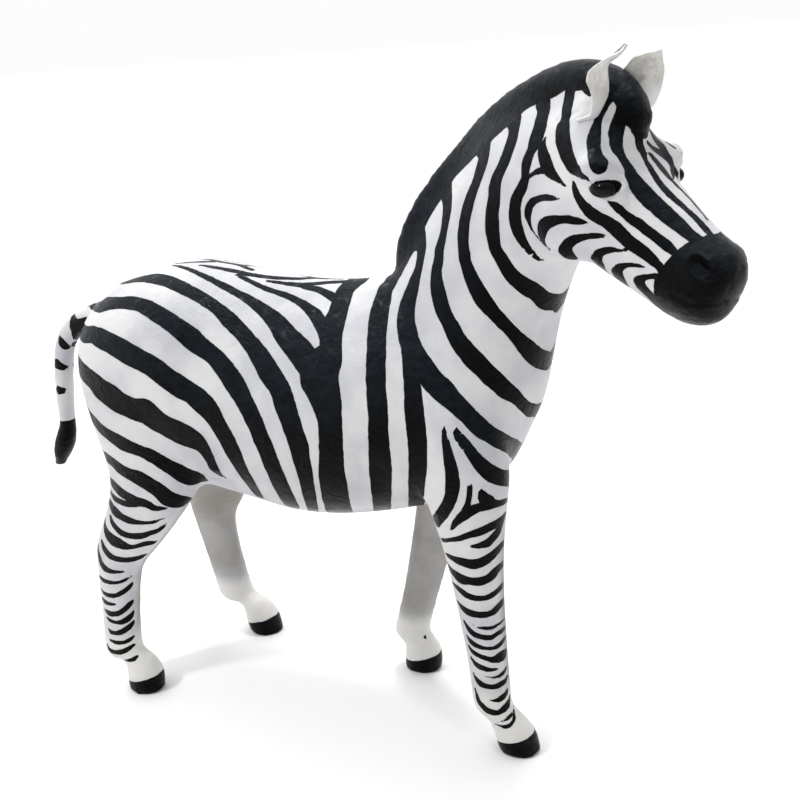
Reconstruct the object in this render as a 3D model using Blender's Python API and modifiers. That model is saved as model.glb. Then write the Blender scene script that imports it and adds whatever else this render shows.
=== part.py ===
"""Standing zebra figurine: a painted, leather-covered body with leather ears and glass eyes.

The animal faces +X, its left side is +Y and it stands on the plane Z = 0.
Every form is written as a share of the height of the back at the withers.
"""

import math
from collections import namedtuple

import bmesh
import bpy
import numpy as np
from mathutils import Matrix, Vector

WITHERS = 0.85  # height of the back at the withers, in metres
SEAT_GAP = 0.0003  # clearance round an eye or an ear in the body, in metres
EAR_LEATHER = 0.0035  # thickness of the ears, in metres
BODY_TRIANGLES = 7900  # what the finished body is thinned to

VOXEL = 0.0068  # grain of the clay before it is thinned, as a share of the height
BLEND_PASSES = 9  # smoothing passes that melt the joints between the forms
RING_POINTS = 28  # points round each section
ROWS_BETWEEN = 4  # rows of points between two sections

# The neck turns the head towards the right side, about a vertical line.
TURN = math.radians(28)
TURN_PIVOT_X = 0.45
TURN_AXIS = (0.75, 0.66)  # direction, in X and Z, along which the turn grows
TURN_START, TURN_END = 0.88, 1.22

# A front leg swings from the shoulder and a hind leg from the stifle: the height
# of the pivot, how far the hoof moves, forwards on the leg that is in front, and how
# far both hooves lean to the left.
FRONT_SWING = (0.95, 0.163, 0.018)
HIND_SWING = (0.52, -0.070, -0.006)

# A section runs between two points of the outline in the XZ plane.
Section = namedtuple("Section", "ax az bx bz half_width widest y", defaults=(0.5, 0.0))

# Top and underside.
TRUNK = (
    Section(-0.552, 0.830, -0.552, 0.740, 0.040),
    Section(-0.540, 0.898, -0.545, 0.650, 0.105, 0.45),
    Section(-0.488, 0.955, -0.498, 0.575, 0.160, 0.48),
    Section(-0.390, 1.002, -0.400, 0.525, 0.192, 0.48),
    Section(-0.260, 1.026, -0.260, 0.505, 0.206, 0.50),
    Section(-0.130, 1.017, -0.130, 0.487, 0.204, 0.55),
    Section(0.000, 0.999, 0.000, 0.470, 0.206, 0.58),
    Section(0.120, 0.996, 0.120, 0.478, 0.200, 0.58),
    Section(0.230, 1.004, 0.240, 0.502, 0.186, 0.56),
    Section(0.330, 0.996, 0.360, 0.540, 0.168, 0.54),
    Section(0.420, 0.950, 0.450, 0.600, 0.144, 0.52),
    Section(0.480, 0.890, 0.496, 0.682, 0.108, 0.52),
    Section(0.515, 0.830, 0.528, 0.755, 0.050),
)

# Crest and throat.
NECK = (
    Section(0.180, 0.960, 0.462, 0.625, 0.130, 0.55),
    Section(0.230, 1.015, 0.528, 0.745, 0.136, 0.58),
    Section(0.282, 1.112, 0.552, 0.845, 0.124, 0.58),
    Section(0.352, 1.218, 0.575, 0.935, 0.108, 0.56),
    Section(0.440, 1.298, 0.612, 1.010, 0.096, 0.55),
    Section(0.540, 1.350, 0.655, 1.070, 0.085, 0.55),
    Section(0.630, 1.372, 0.690, 1.100, 0.074, 0.55),
    Section(0.700, 1.350, 0.730, 1.130, 0.060, 0.50),
)

# Forehead and nose, and underside of the jaw.
HEAD = (
    Section(0.620, 1.270, 0.620, 1.130, 0.050, 0.50),
    Section(0.662, 1.345, 0.655, 1.088, 0.074, 0.42),
    Section(0.722, 1.350, 0.705, 1.072, 0.084, 0.36),
    Section(0.780, 1.300, 0.750, 1.050, 0.086, 0.34),
    Section(0.834, 1.244, 0.790, 1.034, 0.066, 0.40),
    Section(0.886, 1.200, 0.832, 1.016, 0.055, 0.42),
    Section(0.930, 1.166, 0.866, 1.000, 0.051, 0.45),
    Section(0.964, 1.138, 0.900, 0.992, 0.054, 0.45),
    Section(0.992, 1.120, 0.932, 0.990, 0.054, 0.45),
    Section(1.005, 1.096, 0.962, 1.002, 0.042, 0.50),
    Section(1.003, 1.068, 0.982, 1.030, 0.020, 0.50),
)

# The crest of black hair: outer edge and root.
MANE = (
    Section(0.228, 1.016, 0.270, 0.985, 0.008),
    Section(0.228, 1.052, 0.305, 1.010, 0.020),
    Section(0.270, 1.150, 0.345, 1.090, 0.026),
    Section(0.346, 1.247, 0.400, 1.170, 0.028),
    Section(0.436, 1.323, 0.470, 1.240, 0.030),
    Section(0.538, 1.374, 0.560, 1.290, 0.034),
    Section(0.622, 1.402, 0.630, 1.315, 0.040),
    Section(0.690, 1.410, 0.680, 1.320, 0.046),
    Section(0.757, 1.394, 0.715, 1.310, 0.046),
    Section(0.804, 1.356, 0.738, 1.300, 0.042),
    Section(0.822, 1.316, 0.755, 1.280, 0.034),
    Section(0.812, 1.286, 0.775, 1.264, 0.012),
)

# Outer and inner edge, from the croup down to the tip of the tuft.
TAIL = (
    Section(-0.480, 0.952, -0.500, 0.880, 0.030),
    Section(-0.555, 0.920, -0.545, 0.856, 0.032),
    Section(-0.632, 0.886, -0.606, 0.838, 0.028),
    Section(-0.690, 0.828, -0.648, 0.802, 0.026),
    Section(-0.716, 0.745, -0.668, 0.738, 0.025),
    Section(-0.728, 0.650, -0.682, 0.650, 0.023),
    Section(-0.732, 0.600, -0.688, 0.602, 0.021),
    Section(-0.757, 0.548, -0.694, 0.558, 0.028),
    Section(-0.770, 0.505, -0.718, 0.515, 0.024),
    Section(-0.775, 0.468, -0.752, 0.472, 0.010),
)

# Front and back edge of a foreleg that stands straight, from the shoulder down.
FORELEG = (
    Section(0.350, 0.930, 0.240, 0.930, 0.030, 0.5, 0.070),
    Section(0.426, 0.810, 0.236, 0.810, 0.055, 0.5, 0.104),
    Section(0.450, 0.700, 0.240, 0.700, 0.068, 0.5, 0.115),
    Section(0.440, 0.620, 0.250, 0.610, 0.068, 0.5, 0.118),
    Section(0.416, 0.540, 0.264, 0.530, 0.060, 0.5, 0.120),
    Section(0.392, 0.450, 0.270, 0.445, 0.050, 0.5, 0.120),
    Section(0.370, 0.340, 0.267, 0.340, 0.043, 0.5, 0.118),
    Section(0.351, 0.220, 0.261, 0.220, 0.037, 0.5, 0.116),
    Section(0.340, 0.140, 0.251, 0.128, 0.036, 0.5, 0.114),
    Section(0.336, 0.106, 0.247, 0.090, 0.034, 0.5, 0.114),
    Section(0.341, 0.084, 0.272, 0.068, 0.030, 0.5, 0.114),
)

# The same for a hind leg, from the hip down.
HINDLEG = (
    Section(-0.260, 0.930, -0.450, 0.910, 0.040, 0.5, 0.090),
    Section(-0.210, 0.790, -0.520, 0.790, 0.080, 0.5, 0.108),
    Section(-0.195, 0.680, -0.514, 0.680, 0.090, 0.5, 0.108),
    Section(-0.208, 0.600, -0.487, 0.600, 0.080, 0.5, 0.116),
    Section(-0.236, 0.530, -0.472, 0.530, 0.064, 0.5, 0.132),
    Section(-0.284, 0.450, -0.482, 0.455, 0.050, 0.5, 0.146),
    Section(-0.334, 0.380, -0.502, 0.395, 0.041, 0.5, 0.154),
    Section(-0.378, 0.320, -0.508, 0.345, 0.036, 0.5, 0.158),
    Section(-0.388, 0.240, -0.498, 0.250, 0.034, 0.5, 0.160),
    Section(-0.388, 0.160, -0.489, 0.150, 0.034, 0.5, 0.162),
    Section(-0.384, 0.110, -0.487, 0.094, 0.034, 0.5, 0.164),
    Section(-0.378, 0.086, -0.460, 0.068, 0.030, 0.5, 0.165),
)

# Front and back edge of a hoof, from the pastern down; X is from the leg's own line.
HOOF = (
    Section(0.010, 0.096, -0.044, 0.080, 0.028),
    Section(0.028, 0.078, -0.046, 0.062, 0.034),
    Section(0.044, 0.056, -0.046, 0.044, 0.039),
    Section(0.051, 0.032, -0.045, 0.024, 0.041),
    Section(0.050, 0.000, -0.040, 0.000, 0.039),
    Section(0.050, -0.040, -0.040, -0.040, 0.039),
)
HOOF_FRONT_X = 0.327
HOOF_HIND_X = -0.371
STANCE_FRONT = 0.114
STANCE_HIND = 0.165

# Rounded lumps of clay: centre and half sizes.
Lump = namedtuple("Lump", "x y z rx ry rz")
LUMPS = {
    "cheek": Lump(0.688, 0.040, 1.160, 0.088, 0.052, 0.088),
    "brow": Lump(0.782, 0.076, 1.244, 0.040, 0.036, 0.026),
    "eye_rim": Lump(0.790, 0.064, 1.213, 0.044, 0.026, 0.032),
    "nostril_rim": Lump(0.958, 0.036, 1.096, 0.030, 0.020, 0.030),
    "lip": Lump(0.946, 0.000, 1.022, 0.036, 0.042, 0.026),
}

# Hollows pressed into the clay: centre, half sizes and depth.
Press = namedtuple("Press", "x y z rx ry rz depth")
PRESSES = {
    "nostril": Press(0.966, 0.056, 1.096, 0.018, 0.030, 0.015, 0.014),
    "jaw_hollow": Press(0.784, 0.075, 1.130, 0.060, 0.050, 0.035, 0.006),
    "flank": Press(-0.170, 0.200, 0.860, 0.080, 0.080, 0.120, 0.010),
    "elbow": Press(0.225, 0.190, 0.620, 0.050, 0.080, 0.090, 0.010),
}

EYE = Lump(0.797, 0.083, 1.212, 0.028, 0.018, 0.018)

# One ear: where it leaves the head, which way it opens and how far its tip bends.
EAR_ROOT = (0.742, 0.060, 1.335)
EAR_LENGTH, EAR_WIDTH, EAR_TIP = 0.114, 0.066, 0.006
EAR_ROLL = 0.040  # how deep the root is rolled
EAR_SUNK = 0.020  # how much of the length is let into the head
EAR_OPENS = math.radians(41)  # outwards, from straight back
EAR_LEAN_OUT = 0.020
EAR_BEND = 0.080
EAR_SWEEP = 0.022


def clear_scene():
    for thing in list(bpy.data.objects):
        bpy.data.objects.remove(thing, do_unlink=True)


def new_collection(name):
    collection = bpy.data.collections.new(name)
    bpy.context.scene.collection.children.link(collection)
    return collection


def material(name, colour, roughness, metallic=0.0):
    """A plain Principled finish."""
    made = bpy.data.materials.new(name)
    made.use_nodes = True
    shader = made.node_tree.nodes["Principled BSDF"]
    shader.inputs["Base Color"].default_value = (*colour, 1.0)
    shader.inputs["Roughness"].default_value = roughness
    shader.inputs["Metallic"].default_value = metallic
    return made


def smooth_step(value, low, high):
    share = np.clip((value - low) / (high - low), 0.0, 1.0)
    return share * share * (3 - 2 * share)


def turned(points):
    """Points of the straight animal with its neck and head turned to the right."""
    points = np.array(points, float)
    along = points[:, 0] * TURN_AXIS[0] + points[:, 2] * TURN_AXIS[1]
    angle = -TURN * smooth_step(along, TURN_START, TURN_END)
    x = points[:, 0] - TURN_PIVOT_X
    y = points[:, 1].copy()
    points[:, 0] = TURN_PIVOT_X + x * np.cos(angle) - y * np.sin(angle)
    points[:, 1] = x * np.sin(angle) + y * np.cos(angle)
    return points


def between_sections(sections):
    """The sections with rows added between them on Catmull-Rom curves."""
    table = np.array(sections, float)
    padded = np.vstack([2 * table[0] - table[1], table, 2 * table[-1] - table[-2]])
    rows = []
    for i in range(1, len(table)):
        p0, p1, p2, p3 = padded[i - 1 : i + 3]
        for step in range(ROWS_BETWEEN):
            t = step / ROWS_BETWEEN
            rows.append(
                0.5 * (2 * p1 + (p2 - p0) * t + (2 * p0 - 5 * p1 + 4 * p2 - p3) * t**2
                       + (3 * p1 - p0 - 3 * p2 + p3) * t**3)
            )
    rows.append(table[-1])
    return [Section(*row) for row in rows]


def ring(section):
    """Points of one section, starting at its first outline point."""
    angle = 2 * math.pi * np.arange(RING_POINTS) / RING_POINTS
    across = np.sin(angle) * max(section.half_width, 0.002)
    share = (1 - np.cos(angle)) / 2
    share = share ** (math.log(section.widest) / math.log(0.5))
    x = section.ax + (section.bx - section.ax) * share
    z = section.az + (section.bz - section.az) * share
    return np.column_stack([x, section.y + across, z])


def mesh_object(name, points, faces, collection):
    """A mesh from points given as shares of the height."""
    data = bpy.data.meshes.new(name)
    data.from_pydata([tuple(p * WITHERS) for p in points], [], faces)
    made = bmesh.new()
    made.from_mesh(data)
    bmesh.ops.recalc_face_normals(made, faces=made.faces)
    made.to_mesh(data)
    made.free()
    thing = bpy.data.objects.new(name, data)
    collection.objects.link(thing)
    return thing


def loft(name, sections, collection, place=turned):
    """A closed skin over sections of unlike shape."""
    rings = [ring(section) for section in between_sections(sections)]
    points = place(np.vstack(rings))
    count = RING_POINTS
    faces = [tuple(range(count)), tuple(range(len(points) - 1, len(points) - count - 1, -1))]
    for row in range(len(rings) - 1):
        for k in range(count):
            a, b = row * count + k, row * count + (k + 1) % count
            faces.append((a, a + count, b + count, b))
    return mesh_object(name, points, faces, collection)


def swung(swing, side, forward):
    """A function that mirrors a straight leg to its side and swings it."""
    pivot, reach, lean = swing

    def place(points):
        points = np.array(points, float)
        drop = np.clip((pivot - points[:, 2]) / pivot, 0.0, 1.0)
        points[:, 0] += forward * reach * drop
        points[:, 1] = side * points[:, 1] + lean * drop
        return points

    return place


def leg(name, sections, hoof_x, stance, swing, side, forward, collection):
    place = swung(swing, side, forward)
    loft(name, sections, collection, place)
    hoof = [
        part._replace(ax=part.ax + hoof_x, bx=part.bx + hoof_x, y=stance)
        for part in HOOF
    ]
    loft(name + "_hoof", hoof, collection, place)


def lump(name, shape, collection):
    """An ellipsoid of clay on each side, or one if it lies on the middle plane."""
    for side in (-1, 1) if shape.y else (1,):
        bpy.ops.mesh.primitive_uv_sphere_add(segments=32, ring_count=16, radius=1)
        thing = bpy.context.object
        thing.name = name
        for other in thing.users_collection:
            other.objects.unlink(thing)
        collection.objects.link(thing)
        points = np.array([v.co for v in thing.data.vertices])
        points = points * (shape.rx, shape.ry, shape.rz)
        points += (shape.x, side * shape.y, shape.z)
        for vertex, point in zip(thing.data.vertices, turned(points)):
            vertex.co = point * WITHERS


def evaluated_mesh(thing):
    graph = bpy.context.evaluated_depsgraph_get()
    return bpy.data.meshes.new_from_object(thing.evaluated_get(graph))


def melt(collection):
    """One smooth skin over every form in the collection."""
    bpy.ops.object.select_all(action="DESELECT")
    for thing in collection.objects:
        thing.select_set(True)
        bpy.context.view_layer.objects.active = thing
    bpy.ops.object.join()
    clay = bpy.context.object
    clay.name = "clay"
    remesh = clay.modifiers.new("one_skin", "REMESH")
    remesh.mode = "VOXEL"
    remesh.voxel_size = VOXEL * WITHERS
    blend = clay.modifiers.new("blend", "SMOOTH")
    blend.factor = 0.5
    blend.iterations = BLEND_PASSES
    data = evaluated_mesh(clay)
    bpy.data.objects.remove(clay)
    return data


def press_hollows(data):
    """Moves the skin inwards at each hollow, most at its middle."""
    points = np.array([v.co for v in data.vertices]) / WITHERS
    normals = np.array([v.normal for v in data.vertices])
    moved = points.copy()
    for shape in PRESSES.values():
        for side in (-1, 1):
            centre = turned([(shape.x, side * shape.y, shape.z)])[0]
            reach = np.linalg.norm((points - centre) / (shape.rx, shape.ry, shape.rz), axis=1)
            depth = shape.depth * (1 - smooth_step(reach, 0.0, 1.0))
            moved -= normals * depth[:, None]
    for vertex, point in zip(data.vertices, moved * WITHERS):
        vertex.co = point


def thinned(data, triangles, collection):
    """The skin with flat soles and few triangles."""
    made = bmesh.new()
    made.from_mesh(data)
    bmesh.ops.triangulate(made, faces=made.faces)
    count = len(made.faces)
    made.to_mesh(data)
    made.free()
    thing = bpy.data.objects.new("body", data)
    collection.objects.link(thing)
    thin = thing.modifiers.new("thin", "DECIMATE")
    thin.ratio = triangles / count
    data = evaluated_mesh(thing)
    thing.modifiers.clear()
    made = bmesh.new()
    made.from_mesh(data)
    cut = bmesh.ops.bisect_plane(
        made, geom=[*made.verts, *made.edges, *made.faces],
        plane_co=(0, 0, 0), plane_no=(0, 0, -1), clear_outer=True,
    )
    bmesh.ops.holes_fill(made, edges=[e for e in cut["geom_cut"] if isinstance(e, bmesh.types.BMEdge)])
    bmesh.ops.triangulate(made, faces=made.faces)
    bmesh.ops.recalc_face_normals(made, faces=made.faces)
    made.to_mesh(data)
    made.free()
    thing.data = data
    return thing


def eye(side, name, collection, extra=0.0):
    """A glass eye, or with extra the ball that cuts its seat."""
    bpy.ops.mesh.primitive_uv_sphere_add(segments=16, ring_count=10, radius=1)
    thing = bpy.context.object
    thing.name = name
    for other in thing.users_collection:
        other.objects.unlink(thing)
    collection.objects.link(thing)
    size = np.array((EYE.rx, EYE.ry, EYE.rz)) + extra / WITHERS
    points = np.array([v.co for v in thing.data.vertices]) * size
    points += (EYE.x, side * EYE.y, EYE.z)
    for vertex, point in zip(thing.data.vertices, turned(points)):
        vertex.co = point * WITHERS
    thing.data.shade_smooth()
    return thing


def ear_sheet():
    """The left ear's middle surface, as rows of points from its root to its tip."""
    opens = Vector((-math.cos(EAR_OPENS), math.sin(EAR_OPENS), 0))
    across = Vector((math.sin(EAR_OPENS), math.cos(EAR_OPENS), 0))
    rows = []
    for u in np.linspace(0, 1, 10):
        width = EAR_WIDTH * (0.60 + 1.5 * u) * (1 - u**2.2) + EAR_TIP
        roll = EAR_ROLL * (1 - u) ** 1.5
        row = []
        for v in np.linspace(-1, 1, 7):
            point = Vector(EAR_ROOT) + across * (0.5 * width * v + EAR_SWEEP * u * u)
            point += opens * (roll * (v * v - 0.5) - EAR_BEND * u**1.6)
            point += Vector((0, EAR_LEAN_OUT * u, EAR_LENGTH * u - EAR_SUNK))
            row.append(point)
        rows.append(row)
    return rows


def drawn_out(edge, inner, distance):
    return edge + (edge - inner).normalized() * distance


def ear(side, name, collection, extra=0.0):
    """A leather ear, or with extra the shape that cuts its seat."""
    rows = ear_sheet()
    if extra:
        for row in rows:
            row[0] = drawn_out(row[0], row[1], extra / WITHERS)
            row[-1] = drawn_out(row[-1], row[-2], extra / WITHERS)
        rows[0] = [drawn_out(a, b, extra / WITHERS) for a, b in zip(rows[0], rows[1])]
    columns = len(rows[0])
    faces = []
    for i in range(len(rows) - 1):
        for j in range(columns - 1):
            a = i * columns + j
            b = a + columns
            faces += [(a, a + 1, b + 1), (a, b + 1, b)]
    placed = turned([(p.x, side * p.y, p.z) for row in rows for p in row])
    thing = mesh_object(name, placed, faces, collection)
    wall = thing.modifiers.new("leather", "SOLIDIFY")
    wall.thickness = EAR_LEATHER + 2 * extra
    wall.offset = 0.0
    flat = thing.modifiers.new("flat_faces", "TRIANGULATE")
    flat.quad_method = "FIXED"
    return thing


def cut_seat(body, cutter):
    cutter.hide_render = True
    cutter.display_type = "WIRE"
    seat = body.modifiers.new("seat_" + cutter.name, "BOOLEAN")
    seat.operation = "DIFFERENCE"
    seat.solver = "MANIFOLD"  # EXACT leaves slivers inside the rolled root of an ear
    seat.object = cutter


def stand_at_origin(things):
    """Moves everything so that the middle of the figure's box stands on the origin."""
    bpy.context.view_layer.update()
    graph = bpy.context.evaluated_depsgraph_get()
    corners = [
        vertex.co.copy()
        for thing in things
        if not thing.hide_render
        for vertex in thing.evaluated_get(graph).data.vertices
    ]
    low = Vector([min(c[i] for c in corners) for i in range(3)])
    high = Vector([max(c[i] for c in corners) for i in range(3)])
    for thing in things:
        thing.location = (-(low.x + high.x) / 2, -(low.y + high.y) / 2, -low.z)


def main():
    clear_scene()
    zebra = new_collection("zebra_figurine")
    cutters = new_collection("cutters")
    clay = new_collection("clay")

    loft("trunk", TRUNK, clay)
    loft("neck", NECK, clay)
    loft("head", HEAD, clay)
    loft("mane", MANE, clay)
    loft("tail", TAIL, clay)
    for side, forward in ((-1, 1), (1, -1)):
        leg("foreleg", FORELEG, HOOF_FRONT_X, STANCE_FRONT, FRONT_SWING, side, forward, clay)
        leg("hindleg", HINDLEG, HOOF_HIND_X, STANCE_HIND, HIND_SWING, side, forward, clay)
    for name, shape in LUMPS.items():
        lump(name, shape, clay)

    skin = melt(clay)
    press_hollows(skin)
    body = thinned(skin, BODY_TRIANGLES, zebra)
    bpy.data.collections.remove(clay)
    body.data.materials.clear()
    body.data.materials.append(material("painted_leather", (0.80, 0.80, 0.82), 0.5))

    glass = material("black_glass", (0.01, 0.01, 0.012), 0.08)
    leather = material("ear_leather", (0.62, 0.60, 0.56), 0.6)
    for side, word in ((-1, "right"), (1, "left")):
        eye(side, word + "_eye", zebra).data.materials.append(glass)
        ear(side, word + "_ear", zebra).data.materials.append(leather)
        cut_seat(body, eye(side, word + "_eye_seat", cutters, SEAT_GAP))
        cut_seat(body, ear(side, word + "_ear_seat", cutters, SEAT_GAP))
    stand_at_origin([*zebra.objects, *cutters.objects])


main()
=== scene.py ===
"""Looks of the zebra figurine: painted hide, leather ears and black glass eyes.

Rest space is the standing animal before its neck turned and its legs swung, in shares
of the height at the withers. Stripes are written where the photograph shows them, in
pixels of the 800 x 800 picture, and are carried onto the skin through its camera.
"""

import math
from collections import namedtuple

import bmesh
import bpy
import numpy as np
from mathutils import Matrix, Vector
from mathutils.bvhtree import BVHTree

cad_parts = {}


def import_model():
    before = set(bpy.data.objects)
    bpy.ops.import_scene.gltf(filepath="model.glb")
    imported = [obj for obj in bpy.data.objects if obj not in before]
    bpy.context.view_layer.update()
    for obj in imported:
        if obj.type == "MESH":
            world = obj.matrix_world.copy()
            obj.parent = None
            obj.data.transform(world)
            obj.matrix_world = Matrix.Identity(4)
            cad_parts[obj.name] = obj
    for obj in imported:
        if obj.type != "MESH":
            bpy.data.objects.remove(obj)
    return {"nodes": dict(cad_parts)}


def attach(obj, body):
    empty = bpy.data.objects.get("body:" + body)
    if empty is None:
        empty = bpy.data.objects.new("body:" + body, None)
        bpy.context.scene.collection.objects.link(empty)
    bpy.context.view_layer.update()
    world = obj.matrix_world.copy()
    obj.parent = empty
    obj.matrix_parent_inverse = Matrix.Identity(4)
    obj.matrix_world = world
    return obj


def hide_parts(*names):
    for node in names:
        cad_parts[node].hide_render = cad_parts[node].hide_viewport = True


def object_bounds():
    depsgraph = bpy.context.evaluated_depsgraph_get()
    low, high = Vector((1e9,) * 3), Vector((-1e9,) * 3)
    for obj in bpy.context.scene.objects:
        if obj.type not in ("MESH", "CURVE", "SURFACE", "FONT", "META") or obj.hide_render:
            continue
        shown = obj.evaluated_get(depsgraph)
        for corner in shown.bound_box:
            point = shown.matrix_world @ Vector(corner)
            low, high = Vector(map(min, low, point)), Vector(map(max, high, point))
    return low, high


WITHERS = 0.85
SHIFT = np.array((-0.0745191, 0.0360742, 0.0))  # in metres: it brings the figure's box over the origin

# The turned neck and the swung legs: the same values as in the part.
TURN = math.radians(28)
TURN_PIVOT_X = 0.45
TURN_AXIS = (0.75, 0.66)
TURN_START, TURN_END = 0.88, 1.22
FRONT_SWING = (0.95, 0.163, 0.018)
HIND_SWING = (0.52, -0.070, -0.006)
LEG_TOP = 0.52  # below this a point belongs to a leg
LEG_FADE = 0.72  # above this a point of the shoulder hasn't moved with its leg
BELLY_LOW = 0.42  # the belly is above this, and between the legs it doesn't swing with them
TAIL_FRONT_X = -0.60
HOOF_FRONT_X, HOOF_HIND_X = 0.327, -0.371
FORELEG_BACK_X = -0.02
FORE_SWINGS_FROM, FORE_SWINGS_FULL = 0.02, 0.14  # along the belly, above BELLY_LOW
HIND_SWINGS_FULL, HIND_SWINGS_TO = -0.16, -0.06
TURN_PASSES = 12  # the turned neck is straightened by steps

# The photograph's camera, in shares of the height and pixels.
AZIMUTH, ELEVATION, ROLL = math.radians(26.0), math.radians(18.7), math.radians(-4.0)
FOCAL_PX, PICTURE_PX, SENSOR_MM = 1085.0, 800, 36.0
CLIP_RANGE = (0.01, 100)
LENS_AT = np.array((1.17, -1.95, 1.47))
NEAREST, FARTHEST = 1.3, 2.8  # from the lens to the animal, in metres
SEARCH_STEPS, SEARCH_FINER = 70, 9  # places tried along a ray that just misses the animal

SKIN_GRAIN = 0.0101  # edge of a face of the skin on the trunk, in metres
ROUNDING_PASSES, ZONE_PASSES, FACE_PASSES = 14, 3, 4
DRAWN_IN, LET_OUT = 0.5, -0.53  # the two halves of a smoothing pass
FINEST_REACHES, FINEST_RELAXED = (1.0, 0.86), 0.90  # shares of the reach round eyes and nose
FLOOR_TOUCH = 1e-4  # a point lower than this is on the sole, in metres
SEAT_RIM_GAP, SEAT_MIDDLE_GAP = 0.0008, 0.0015  # a face nearer to an eye or ear is its seat
HEAD_LINE = 1.16  # along the turning axis, where the finer skin of the head starts
LEG_BOXES = (  # where the skin of the legs is finer, in shares
    ((0.14, 0.045, -0.1), (0.52, 0.40, 0.61)),
    ((-0.60, 0.045, -0.1), (-0.15, 0.40, 0.55)),
)
SOLE_CRISP, SOLE_FREE = 0.012, 0.03  # heights in metres between which a hoof's rim softens
ZONE_INSET = 0.014  # the rim of a finer zone keeps its points where they are
EYE_REACH = 0.052  # how far from an eye the skin is finest, in shares
NOSE_REACH = 0.050
BACK_BOX = ((-0.42, -0.12, 0.9), (0.22, 0.12, 1.1))  # the fine lines along the back
RIDGE_BOX = ((0.76, -0.01, 1.10), (0.945, 0.026, 1.34))  # the nose's ridge, in shares

SOFT_SIDE = 0.004  # how near the part's own width the skin starts to be pressed in, in metres

EYE_AT, EYE_SIZE = (0.7985, 0.083, 1.2135), (0.0245, 0.0178, 0.0158)
NOSTRIL_AT = (0.968, 0.052, 1.098)

EAR_ROOT = (0.742, 0.060, 1.335)
EAR_LENGTH, EAR_WIDTH, EAR_TIP = 0.114, 0.066, 0.006
EAR_ROLL, EAR_SUNK = 0.040, 0.020
EAR_OPENS = math.radians(41)
EAR_LEAN_OUT, EAR_BEND, EAR_SWEEP = 0.020, 0.080, 0.022
EAR_LEATHER, EAR_SKIVED = 0.0035, 0.8  # the part's leather, and how much of it the leaf has
EAR_NECK, EAR_NECK_LENGTH = 0.45, 0.34  # how far an ear narrows to its root, and over what share
EAR_EDGE_FROM = 0.10  # above this share an ear's edges follow the picture
EAR_PRESS = 0.008  # how far the root of an ear's leaf is pressed into the head, in shares
EAR_PRESSED_TO = 0.22  # the share of an ear's length that is pressed
EAR_ROWS, EAR_COLUMNS = 60, 36

FAR_RINGS_FROM = 0.118  # the far foreleg's rings stay on its outer side, in shares
COATS = 3  # neighbouring stripes go into different coats
STROKE_STEP = 2.5  # pixels between the points of a stripe once it is carried onto the skin
LEAST_HALF = 0.15  # half width of a stripe's thinnest end, in pixels
WIDEST = 1.4  # how much wider than it shows a stripe may be where the skin turns away
BLUNT_END = 4  # points at a stripe's end that take the widest of their widths before it goes on
POINTS_ROUND = 6  # points added on the way to the middle
THINNING = 0.45  # how much of its width a stripe loses on its way to the middle
FOLLOWED_BACK = 5  # the point, from a stripe's end, that gives the way it goes on

# Painted shade on the inner sides of the legs: by the way the skin faces, and by height in shares.
INNER_SHADE_FACING, INNER_SHADE_ABOVE, INNER_SHADE_BELOW = (-0.60, 0.20), (0.10, 0.20), (0.46, 0.58)

PAINT_REACH = 0.03  # how far from a stripe's edge the paint's distance is kept, in metres
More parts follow.
